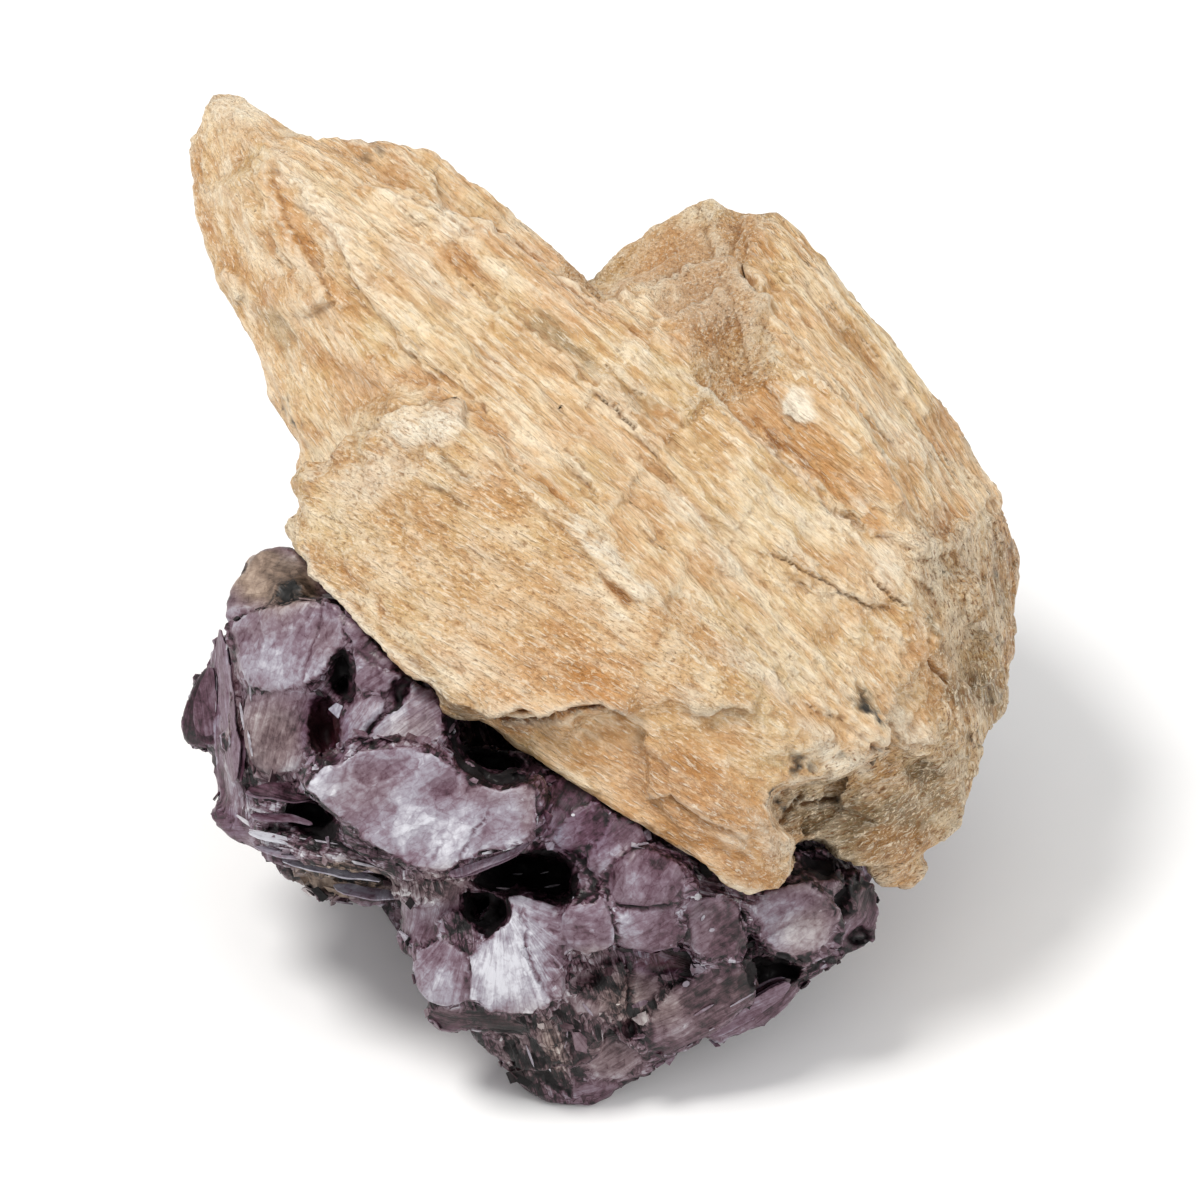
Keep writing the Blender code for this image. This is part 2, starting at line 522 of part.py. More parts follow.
def small_book_points(place, normal, radius, thickness, draw):
    """A small mica book with a worn hexagonal outline, leaning out of the mass."""
    side = normal.orthogonal().normalized()
    other = normal.cross(side)
    turn = draw.uniform(0, math.pi)
    rim = []
    for corner in range(7):
        angle = turn + corner * 2 * math.pi / 7
        reach = radius * draw.uniform(0.75, 1.1)
        rim.append(place + side * math.cos(angle) * reach + other * math.sin(angle) * reach * 0.85)
    return [p + normal * thickness * 0.5 for p in rim] + [p - normal * thickness * 0.5 for p in rim]


def hollow_object(name, across, down, depth, half_width, half_height, half_depth, turn, work):
    """A rough ellipsoid that cuts a hollow, its long side turned in the sighting plane."""
    bm = bmesh.new()
    bmesh.ops.create_icosphere(bm, subdivisions=1, radius=1)
    draw = random.Random(name)
    frame = Matrix((ACROSS, UP, OUT)).transposed()
    spin = Matrix.Rotation(math.radians(-turn), 3, "Z")
    size = Vector((half_width * PIXEL, half_height * PIXEL, half_depth * MM))
    for vert in bm.verts:
        rough = vert.co * draw.uniform(0.8, 1.3)
        vert.co = spot(across, down, depth) + frame @ (spin @ (rough * size))
    return helper(mesh_object(name, bm, work))


def build_mica(parts, work, feldspar, blades, details):
    """The mica mass with its books and hollows, and a bed cut in it for the feldspar."""
    blocks = [mesh_object(name, hull_mesh([spot(*p) for p in points]), work)
              for name, points in MICA_CORE.items()]
    blocks.append(mesh_object("rear_mass", hull_mesh(REAR_MASS), work))
    body = combine("mica_body", blocks[0], blocks[1:], "UNION", work)
    keep_main_shell(body)
    books = [mesh_object(name, hull_mesh(book_points(*book)), work) for name, book in MICA_BOOKS.items()]
    in_front = surface_tree([body, feldspar] + books)
    draw = random.Random(23)

    def is_out_of_sight(place):
        return in_front.ray_cast(place + OUT * 0.2 * MM, OUT)[0] is not None

    def is_hidden_side(place, normal):
        return normal.z > -0.8 and place.z > 3 * MM and is_out_of_sight(place + normal * MM)

    hidden = 0
    while hidden < HIDDEN_BOOKS:
        place, normal = sampled_faces(body, 1, draw, is_hidden_side)[0]
        lean = Vector((draw.gauss(0, 0.45), draw.gauss(0, 0.45), draw.gauss(0, 0.45)))
        facing = (normal + lean).normalized()
        points = small_book_points(place, facing, draw.uniform(3.4, 7) * MM, draw.uniform(1.6, 2.8) * MM, draw)
        if all(is_out_of_sight(p) for p in points):
            books.append(mesh_object("hidden_book", hull_mesh(points), work))
            hidden += 1
    front = surface_tree(books + [body])

    def is_seen_side(place, normal):
        return normal.dot(OUT) > 0.1 and not is_out_of_sight(place + normal * MM)

    shown = 0
    while shown < SHOWN_BOOKS:
        place, normal = sampled_faces(body, 1, draw, is_seen_side)[0]
        lean = Vector((draw.gauss(0, 0.35), draw.gauss(0, 0.35), draw.gauss(0, 0.35)))
        facing = (normal + lean).normalized()
        points = small_book_points(place + normal * 0.8 * MM, facing, draw.uniform(2.2, 4) * MM, 1.4 * MM, draw)
        if all(front.ray_cast(p + OUT * 20 * MM, -OUT)[0] is not None for p in points):
            books.append(mesh_object("shown_book", hull_mesh(points), work))
            shown += 1
    body = combine("mica_books", body, books, "UNION", work)
    keep_main_shell(body)
    cutters = [hollow_object(name, *size, work) for name, size in MICA_HOLLOWS.items()]
    cutters += [helper(mesh_object("bed", hull_mesh(grown_points(points, GAP)), work))
                for points in blades + details]
    floor = bmesh.new()
    bmesh.ops.create_cube(floor, size=0.2)
    bmesh.ops.translate(floor, verts=floor.verts, vec=(0, 0, -0.1))
    cutters.append(helper(mesh_object("floor", floor, work)))
    mica = combine("lepidolite_mica", body, cutters, "DIFFERENCE", parts)
    keep_main_shell(mica)
    return mica


def centre_over_origin(objects):
    """Moves the specimen so that the middle of its box stands over the origin."""
    corners = [v.co for obj in objects for v in obj.data.vertices]
    middle_x = (min(c.x for c in corners) + max(c.x for c in corners)) / 2
    middle_y = (min(c.y for c in corners) + max(c.y for c in corners)) / 2
    for obj in objects:
        obj.data.transform(Matrix.Translation((-middle_x, -middle_y, 0)))
    print(f"view centre stands at x {-middle_x:.5f}, y {-middle_y:.5f}, z {SIGHT_HEIGHT}")


def main():
    clear_scene()
    parts = new_collection("lepidolite_specimen")
    work = new_collection("work")
    feldspar, blades, details = build_feldspar(parts, work)
    mica = build_mica(parts, work, feldspar, blades, details)
    feldspar.data.materials.clear()
    feldspar.data.materials.append(new_material("feldspar", FELDSPAR_COLOUR, 0.55))
    mica.data.materials.clear()
    mica.data.materials.append(new_material("mica", MICA_COLOUR, 0.35))
    centre_over_origin([feldspar, mica])


main()
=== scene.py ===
"""Looks of the lepidolite specimen: fibrous tan feldspar blades across a mass of pearly purple mica.

Metres, +Z up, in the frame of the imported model. Shapes that the photograph shows are placed by pixels of
its 1200-pixel square and a depth in millimetres towards the camera, which spot() turns into a place.
"""
import itertools
import json
import math
import random

import bpy
import numpy as np
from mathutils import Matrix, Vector
from mathutils.bvhtree import BVHTree

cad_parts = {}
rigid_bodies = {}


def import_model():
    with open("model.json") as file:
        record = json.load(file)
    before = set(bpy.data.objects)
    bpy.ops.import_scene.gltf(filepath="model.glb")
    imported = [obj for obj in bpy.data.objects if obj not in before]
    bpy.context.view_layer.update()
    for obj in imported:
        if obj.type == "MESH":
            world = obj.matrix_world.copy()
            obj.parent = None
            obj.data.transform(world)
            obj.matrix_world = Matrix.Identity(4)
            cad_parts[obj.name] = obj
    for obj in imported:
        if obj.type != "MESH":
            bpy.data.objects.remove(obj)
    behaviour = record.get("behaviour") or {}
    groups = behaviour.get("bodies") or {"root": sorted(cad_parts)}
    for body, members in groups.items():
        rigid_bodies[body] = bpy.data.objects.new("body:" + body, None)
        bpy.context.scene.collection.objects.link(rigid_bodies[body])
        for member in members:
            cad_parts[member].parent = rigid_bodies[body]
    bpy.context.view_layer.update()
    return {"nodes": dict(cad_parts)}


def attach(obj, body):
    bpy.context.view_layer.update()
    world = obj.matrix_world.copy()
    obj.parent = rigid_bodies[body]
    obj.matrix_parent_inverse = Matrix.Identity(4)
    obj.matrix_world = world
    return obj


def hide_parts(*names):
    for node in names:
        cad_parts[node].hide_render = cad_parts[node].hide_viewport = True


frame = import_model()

MM = 0.001

# The camera's view of the specimen.
PHOTO_PIXELS = 1200
PIXEL = 0.076 / (1023 - 177)
CAMERA_DISTANCE = 0.9
CAMERA_ELEVATION = math.radians(38)
VIEW_CENTRE = np.array((-0.00017, -0.00579, 0.0366))
ACROSS = np.array((1.0, 0.0, 0.0))
UP = np.array((0.0, math.sin(CAMERA_ELEVATION), math.cos(CAMERA_ELEVATION)))
OUT = np.array((0.0, -math.cos(CAMERA_ELEVATION), math.sin(CAMERA_ELEVATION)))


def spot(across_px, down_px, depth_mm):
    """The place seen at a pixel of the photograph, at a depth towards the camera."""
    depth = depth_mm * MM
    nearer = 1 - depth / CAMERA_DISTANCE
    across = (across_px - PHOTO_PIXELS / 2) * PIXEL * nearer
    up = (PHOTO_PIXELS / 2 - down_px) * PIXEL * nearer
    return VIEW_CENTRE + ACROSS * across + UP * up + OUT * depth


def seen_at(points):
    """The photograph's pixels at which places are seen, and their depths in millimetres."""
    away = points - VIEW_CENTRE
    depth = away @ OUT
    nearer = 1 - depth / CAMERA_DISTANCE
    across = PHOTO_PIXELS / 2 + away @ ACROSS / (PIXEL * nearer)
    down = PHOTO_PIXELS / 2 - away @ UP / (PIXEL * nearer)
    return np.stack((across, down), axis=1), depth / MM


def linear(red, green, blue):
    """A colour given in the 0 to 255 steps of a screen, as the renderer's linear values."""
    return tuple(((c / 255 + 0.055) / 1.055) ** 2.4 for c in (red, green, blue)) + (1.0,)


# Noise fields

def lattice_random(cells, seed):
    """Three random numbers from 0 to 1 for each integer cell."""
    x, y, z = (cells[:, i].astype(np.int64) for i in range(3))
    key = (x * 73856093 ^ y * 19349663 ^ z * 83492791 ^ (seed + 1) * 2654435761) & 0xFFFFFFFF
    numbers = []
    for turn in range(3):
        key = ((key ^ (key >> 15)) * 0x2C1B3C6D) & 0xFFFFFFFF
        key = ((key ^ (key >> 12)) * 0x297A2D39) & 0xFFFFFFFF
        key = (key ^ (key >> 15)) & 0xFFFFFFFF
        numbers.append(key / 0xFFFFFFFF)
        key = key + 0x9E3779B9 * (turn + 1)
    return np.stack(numbers, axis=1)


def smooth_noise(points, seed):
    """Smooth noise between about -1 and 1, with features one unit wide."""
    cells = np.floor(points)
    part = points - cells
    ease = part * part * part * (part * (part * 6 - 15) + 10)
    total = np.zeros(len(points))
    for corner in itertools.product((0, 1), repeat=3):
        corner = np.array(corner)
        slope = lattice_random(cells + corner, seed) * 2 - 1
        weight = np.prod(np.where(corner == 1, ease, 1 - ease), axis=1)
        total += weight * np.sum(slope * (part - corner), axis=1)
    return total * 1.6


def layered_noise(points, seed, layers=3):
    total = np.zeros(len(points))
    for layer in range(layers):
        total += smooth_noise(points * 2.03 ** layer, seed + layer) * 0.55 ** layer
    return total


def chip_noise(points, seed, lean=0.9):
    """Flat chips one unit wide: a height that steps from chip to chip and leans within each one."""
    base = np.floor(points)
    nearest = np.full(len(points), np.inf)
    height = np.zeros(len(points))
    for offset in itertools.product((-1, 0, 1), repeat=3):
        cell = base + offset
        away = points - cell - 0.1 - 0.8 * lattice_random(cell, seed)
        distance = np.sum(away * away, axis=1)
        chances = lattice_random(cell, seed + 50) - 0.5
        value = chances[:, 0] + lean * np.sum(away * np.roll(chances, 1, axis=1), axis=1)
        closer = distance < nearest
        nearest[closer] = distance[closer]
        height[closer] = value[closer]
    return height


def smooth_step(low, high, values):
    part = np.clip((values - low) / (high - low), 0, 1)
    return part * part * (3 - 2 * part)


def segment_distance(pixels, line):
    """Distance in pixels from a broken line, the share of the way along it, and the step away from it."""
    best = np.full(len(pixels), np.inf)
    share = np.zeros(len(pixels))
    away = np.zeros((len(pixels), 2))
    for number, (a, b) in enumerate(zip(line, line[1:])):
        a, b = np.array(a, float), np.array(b, float)
        run = b - a
        t = np.clip((pixels - a) @ run / (run @ run), 0, 1)
        offset = pixels - a - t[:, None] * run
        distance = np.linalg.norm(offset, axis=1)
        closer = distance < best
        best[closer] = distance[closer]
        share[closer] = (number + t[closer]) / (len(line) - 1)
        away[closer] = offset[closer]
    return best, share, away


def inside_distance(pixels, outline):
    """Distance in pixels to an outline: positive inside it and negative outside."""
    closed = list(outline) + [outline[0]]
    distance = segment_distance(pixels, closed)[0]
    inside = np.zeros(len(pixels), bool)
    for (ax, ay), (bx, by) in zip(closed, closed[1:]):
        crosses = (ay > pixels[:, 1]) != (by > pixels[:, 1])
        reach = (bx - ax) * (pixels[:, 1] - ay) / ((by - ay) or 1e-9) + ax
        inside ^= crosses & (pixels[:, 0] < reach)
    return np.where(inside, distance, -distance)


def ellipse_mask(pixels, along, across, turn_degrees, centre):
    turn = math.radians(turn_degrees)
    away = pixels - np.array(centre, float)
    run = away[:, 0] * math.cos(turn) - away[:, 1] * math.sin(turn)
    side = away[:, 0] * math.sin(turn) + away[:, 1] * math.cos(turn)
    return 1 - smooth_step(0.35, 1.0, np.sqrt((run / along) ** 2 + (side / across) ** 2))


def strongest(pixels, patches):
    """The strongest of the patches at each pixel."""
    found = np.zeros(len(pixels))
    for strength, *ellipse in patches.values():
        found = np.maximum(found, strength * ellipse_mask(pixels, *ellipse))
    return found


def line_cuts(pixels, cracks):
    """Depth in mm that cracks are cut, tapering out at their ends."""
    cut = np.zeros(len(pixels))
    for half_width, cut_depth, line in cracks.values():
        distance, share, _ = segment_distance(pixels, line)
        ends = smooth_step(0, 0.12, share) * smooth_step(1, 0.88, share)
        cut = np.maximum(cut, cut_depth * ends * (1 - smooth_step(0.3, 1.0, distance / half_width)))
    return cut


def terraces(field, riser=0.22):
    """Steps with flat treads, one for each unit of the field."""
    tread = np.floor(field)
    return tread + smooth_step(0, riser, field - tread)


# Meshes

def voxel_mesh(mesh, voxel_size):
    """One even closed surface round everything that the mesh holds."""
    obj = bpy.data.objects.new("fine", mesh)
    bpy.context.scene.collection.objects.link(obj)
    voxels = obj.modifiers.new("voxels", "REMESH")
    voxels.mode = "VOXEL"
    voxels.voxel_size = voxel_size
    bpy.context.view_layer.update()
    made = bpy.data.meshes.new_from_object(obj.evaluated_get(bpy.context.evaluated_depsgraph_get()))
    bpy.data.objects.remove(obj)
    return made


def corner_places(mesh):
    flat = np.empty(len(mesh.vertices) * 3)
    mesh.vertices.foreach_get("co", flat)
    return flat.reshape(-1, 3)


def corner_normals(mesh):
    flat = np.empty(len(mesh.vertices) * 3)
    mesh.vertex_normals.foreach_get("vector", flat)
    return flat.reshape(-1, 3)


def edge_ends(mesh):
    flat = np.empty(len(mesh.edges) * 2, dtype=np.int64)
    mesh.edges.foreach_get("vertices", flat)
    return flat.reshape(-1, 2)


def relaxed(values, edges, rounds):
    """Values at the corners, evened out with their neighbours."""
    count = len(values)
    ends = np.concatenate((edges[:, 0], edges[:, 1]))
    others = np.concatenate((edges[:, 1], edges[:, 0]))
    neighbours = np.maximum(np.bincount(ends, minlength=count), 1)
    for _ in range(rounds):
        summed = np.stack([np.bincount(ends, values[others, i], count) for i in range(values.shape[1])], axis=1)
        values = 0.5 * values + 0.5 * summed / neighbours[:, None]
    return values


def set_places(mesh, places):
    mesh.vertices.foreach_set("co", places.astype(np.float32).ravel())
    mesh.update()


def store_number(mesh, name, values):
    layer = mesh.attributes.new(name, "FLOAT", "POINT")
    layer.data.foreach_set("value", values.astype(np.float32))


def mesh_from(name, places, faces, smooth=True):
    mesh = bpy.data.meshes.new(name)
    mesh.from_pydata([tuple(p) for p in places], [], faces)
    mesh.update()
    if smooth:
        mesh.shade_smooth()
    return mesh


def thinned(mesh, most_triangles):
    """The mesh with its flattest parts made of fewer triangles."""
    obj = bpy.data.objects.new("thinned", mesh)
    bpy.context.scene.collection.objects.link(obj)
    thin = obj.modifiers.new("thin", "DECIMATE")
    thin.ratio = min(1.0, most_triangles / (2 * len(mesh.polygons)))
    bpy.context.view_layer.update()
    made = bpy.data.meshes.new_from_object(obj.evaluated_get(bpy.context.evaluated_depsgraph_get()))
    bpy.data.objects.remove(obj)
    made.validate()
    made.shade_smooth()
    return made


def finish_piece(name, mesh, node, material):
    """Makes the mesh a piece that stands for a CAD node, with nothing below the floor."""
    places = corner_places(mesh)
    places[:, 2] = np.maximum(places[:, 2], 0.0)
    set_places(mesh, places)
    piece = bpy.data.objects.new(name, mesh)
    bpy.context.scene.collection.objects.link(piece)
    mesh.materials.clear()
    mesh.materials.append(material)
    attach(piece, "root")
    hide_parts(node)
    return piece


# Feldspar shapes

# The crystals: where they are, in pixels and mm of depth, a step along their fibres in the same measures,
# how strongly they are ribbed along their fibres, and how strongly they are broken into grains.
CRYSTALS = {
    "main": ([(300, 200, 3), (420, 300, 8), (560, 420, 12), (700, 540, 14), (820, 620, 12), (880, 690, 9),
              (520, 260, 2), (640, 340, 6), (770, 470, 8), (600, 350, -15)], (690, 600, 11), 1.0, 0.15),
    "left": ([(215, 150, -6), (235, 250, -5), (262, 330, -2), (320, 385, 4), (300, 425, 2)],
             (420, 600, 11), 0.45, 0.35),
    "front": ([(380, 480, 12), (450, 560, 15), (560, 620, 18), (660, 660, 19), (340, 540, 11), (480, 690, 16)],
              (560, 330, 8), 0.6, 0.65),
    "tail": ([(600, 740, 16), (680, 770, 16), (740, 800, 16), (760, 860, 14)], (560, 360, 8), 0.7, 0.3),
    "right": ([(790, 260, -4), (820, 330, -1), (870, 400, 0), (930, 480, -4), (840, 350, -15),
               (900, 450, -20)], (480, 620, -2), 1.15, 0.1),
    "peak": ([(650, 250, -8), (690, 300, -3), (705, 350, 2), (620, 295, -4), (720, 240, -6)],
             (300, -420, 150), 0.3, 0.6),
    "rough": ([(985, 600, -6), (990, 680, -6), (970, 740, -2), (950, 590, -3), (1000, 620, -20)],
              (90, 420, -20), 0.9, 1.5),
    "foot": ([(830, 810, 8), (880, 800, 5), (930, 790, 1), (870, 850, 2)], (420, -160, 0), 0.6, 1.2),
}

# Fillings of the grooves between crystals: how far in mm they stay below the banks, and the two banks.
FELDSPAR_FILLINGS = {
    "block_groove": (0.5, [(455, 420), (480, 448), (505, 474), (528, 498), (552, 522), (580, 552), (604, 584)],
                     [(500, 404), (528, 436), (552, 462), (574, 484), (596, 508), (618, 540), (640, 572)]),
    "right_groove": (0.9, [(690, 364), (716, 392), (742, 416), (770, 446), (800, 474), (830, 504), (860, 530)],
                     [(716, 350), (752, 372), (790, 404), (820, 430), (850, 462), (880, 494), (906, 528)]),
    "peak_gap": (0.4, [(606, 304), (626, 320), (650, 338), (680, 364), (710, 392)],
                 [(618, 276), (648, 274), (684, 288), (718, 318), (738, 352)]),
}

# Hollows cut down to a leaning plane: depth in mm at the middle, lean right and up in degrees, the outline.
FELDSPAR_HOLLOWS = {
    "foot_recess": (6.2, 14, -4, [
        (768, 808), (775, 797), (790, 786), (806, 781), (832, 777), (858, 768), (876, 757), (892, 752),
        (906, 770), (915, 800), (900, 880), (870, 885), (822, 866), (800, 876), (793, 850), (780, 828)]),
    "tail_gap": (0.5, 0, 0, [(792, 842), (806, 838), (822, 840), (834, 856), (836, 884), (812, 892), (796, 874)]),
    "dark_hollow": (3.4, 0, 0, [(904, 770), (918, 756), (940, 758), (948, 776), (940, 790), (920, 786)]),
}

# Ledges: height in mm, pixels over which it fades, the way its high side lies, and its line in pixels.
FELDSPAR_LEDGES = {
    "left_face_edge": (0.8, 110, (-1, 0.3), [
        (266, 158), (274, 178), (282, 208), (294, 232), (304, 250), (318, 272), (326, 290), (330, 312)]),
    "tip_edge": (0.4, 24, (1, 0.2), [(188, 138), (198, 150), (204, 172), (206, 190)]),
    "left_notch": (0.5, 26, (-1, -0.4), [(232, 262), (243, 280), (248, 294), (240, 304)]),
    "left_flake": (0.4, 24, (0.4, -1), [(300, 318), (318, 308), (334, 300), (340, 312)]),
    "ridge_line": (0.5, 110, (0.8, -1), [(262, 150), (300, 190), (330, 230), (362, 290), (400, 340), (450, 392)]),
    "low_ridge": (0.4, 90, (-0.8, 1), [(400, 330), (440, 376), (480, 410), (520, 452)]),
    "top_ledge": (0.4, 80, (0.6, -1), [
        (352, 166), (380, 180), (400, 191), (418, 203), (434, 213), (446, 206)]),
    "tier_edge": (0.35, 90, (0.5, -1), [(410, 226), (440, 214), (462, 222), (486, 246)]),
    "tier_side": (0.3, 60, (0.8, -0.7), [(440, 250), (462, 272), (484, 294), (500, 300)]),
    "strip_line": (0.5, 90, (-0.7, 1), [
        (470, 214), (500, 232), (535, 257), (560, 280), (586, 300), (612, 318), (640, 342), (676, 374)]),
    "olive_edge": (0.7, 44, (-0.7, 1), [(500, 302), (528, 326), (556, 352), (584, 378), (600, 392)]),
    "middle_edge": (0.5, 120, (0.7, -1), [(592, 388), (620, 410), (640, 432), (664, 454)]),
    "middle_low_edge": (0.4, 100, (0.7, -1), [(560, 452), (584, 476), (600, 500), (618, 512)]),
    "lip": (0.25, 150, (0.7, -1), [
        (644, 484), (654, 502), (668, 516), (686, 530), (700, 536), (703, 552), (712, 568), (730, 577),
        (748, 566)]),
    "upper_lip": (0.3, 100, (0.5, -1), [(700, 470), (724, 486), (748, 510), (770, 530), (800, 548)]),
    "crack_lip": (0.5, 90, (0.3, -1), [
        (760, 547), (790, 558), (814, 574), (838, 590), (850, 594), (872, 605), (896, 611)]),
    "crack_flake": (0.4, 14, (1, 0.6), [(786, 564), (796, 578), (812, 589), (824, 584)]),
    "side_lip": (0.5, 24, (0.6, -1), [(866, 576), (884, 591), (906, 609)]),
    "cream_edge": (0.45, 120, (0.7, -1), [
        (516, 482), (548, 514), (584, 548), (600, 572), (626, 590), (650, 602), (668, 612)]),
    "block_end": (0.8, 80, (0.4, 1), [
        (352, 440), (378, 432), (392, 420), (410, 411), (440, 404), (468, 406)]),
    "block_shoulder": (0.2, 60, (1, 0.9), [(330, 520), (360, 490), (400, 470), (436, 446), (452, 430)]),
    "block_low_rim": (0.5, 20, (-1, 0.6), [(306, 552), (336, 590), (366, 622), (400, 652), (430, 684)]),
    "ledge": (0.9, 40, (0, -1), [
        (470, 712), (498, 714), (520, 711), (545, 716), (562, 712), (576, 708), (592, 706), (608, 709),
        (622, 714), (640, 718)]),
    "ledge_right": (0.7, 34, (0, -1), [(690, 716), (706, 714), (722, 709), (740, 706), (758, 712)]),
    "tail_fold": (0.6, 40, (0.4, -1), [(640, 800), (670, 794), (700, 812), (730, 826), (750, 846)]),
    "shelf_edge": (0.7, 40, (-0.5, -1), [(800, 700), (830, 716), (852, 730), (870, 744), (886, 748)]),
    "shelf_tip": (0.6, 40, (-0.6, 0.6), [(850, 696), (866, 706), (880, 724), (888, 744)]),
    "step_tip": (0.7, 40, (-0.3, -1), [(884, 716), (904, 742), (920, 740), (936, 746)]),
    "peak_ledge": (1.3, 60, (0, 1), [
        (652, 290), (668, 280), (690, 266), (708, 270), (730, 267), (746, 282), (758, 300), (776, 306)]),
    "small_block": (0.7, 22, (0, 1), [(616, 304), (620, 288), (642, 286), (646, 296), (662, 284)]),
    "peak_front": (0.8, 40, (0.4, 1), [(650, 318), (672, 322), (690, 314), (712, 306), (732, 292)]),
    "peak_side": (0.6, 30, (1, 0), [(700, 200), (704, 222), (712, 244), (716, 262)]),
    "strip_edge": (0.7, 34, (1, -0.2), [(741, 212), (742, 236), (734, 256), (748, 276), (762, 296)]),
    "right_ridge": (0.5, 50, (1, -0.4), [(744, 300), (744, 340), (752, 376), (776, 400), (812, 436)]),
    "right_line": (0.5, 40, (-0.8, 1), [(812, 372), (846, 404), (880, 438), (914, 472), (950, 510)]),
    "right_line_high": (0.4, 40, (0.8, -1), [(790, 262), (828, 314), (866, 350), (902, 392), (934, 430)]),
    "right_foot": (0.6, 30, (0.4, -1), [(846, 506), (870, 536), (884, 534), (904, 544), (924, 560)]),
    "rough_edge": (0.5, 40, (-0.3, -1), [(900, 556), (930, 560), (960, 548), (984, 500), (1000, 498)]),
}

# Cracks: half width in pixels, depth in mm, and the line in pixels.
FELDSPAR_CRACKS = {
    "long_crack": (1.7, 0.35, [(760, 548), (790, 559), (814, 575), (838, 591), (850, 595), (872, 606), (896, 612)]),
    "contact": (5.0, 0.6, [(690, 366), (716, 391), (742, 416), (770, 446), (800, 476), (830, 506), (862, 532)]),
    "peak_contact": (4.0, 0.2, [(590, 282), (616, 298), (642, 316), (666, 334), (690, 366)]),
    "side_crack": (2.0, 0.4, [(866, 577), (885, 592), (906, 610)]),
    "orange_crack": (4.0, 0.25, [(534, 476), (556, 498), (584, 524)]),
    "strip_crack": (3.5, 0.6, [(462, 208), (498, 230), (535, 256), (560, 279), (586, 299), (612, 317)]),
    "low_crack": (2.4, 0.3, [(596, 392), (620, 412), (640, 433)]),
    "brown_slot": (5.0, 0.25, [(652, 406), (668, 420), (684, 434)]),
    "notch_a": (3.0, 0.3, [(564, 446), (578, 460), (590, 470)]),
    "notch_b": (3.0, 0.3, [(580, 490), (596, 508)]),
    "notch_c": (3.0, 0.3, [(646, 538), (660, 550), (672, 560)]),
    "groove": (12.0, 0.3, [(470, 404), (490, 428), (510, 452), (530, 472)]),
    "orange_hollow": (8.0, 0.25, [(596, 572), (616, 586), (640, 602)]),
    "tier_hollow": (14.0, 0.3, [(440, 240), (462, 262), (484, 286), (500, 296)]),
    "ledge_shadow": (6.0, 1.0, [
        (476, 719), (520, 716), (545, 721), (562, 717), (576, 713), (592, 711), (608, 714), (632, 719)]),
    "foot_crack": (3.0, 1.0, [(800, 806), (820, 802), (838, 798)]),
    "foot_slit": (3.0, 0.8, [(776, 826), (790, 812), (804, 792)]),
    "low_rim_hollow": (6.0, 0.15, [(336, 560), (350, 578), (366, 600), (390, 614), (400, 636)]),
    "shelf_slot": (4.0, 0.8, [(868, 742), (876, 750), (880, 760)]),
    "block_slit_a": (3.0, 0.2, [(440, 452), (456, 466), (472, 482)]),
    "block_slit_b": (3.0, 0.2, [(424, 484), (444, 494), (462, 504)]),
    "right_slit": (3.0, 0.3, [(820, 378), (850, 404), (884, 436), (900, 446)]),
    "rough_slit": (4.0, 0.8, [(930, 660), (944, 676), (950, 684)]),
}

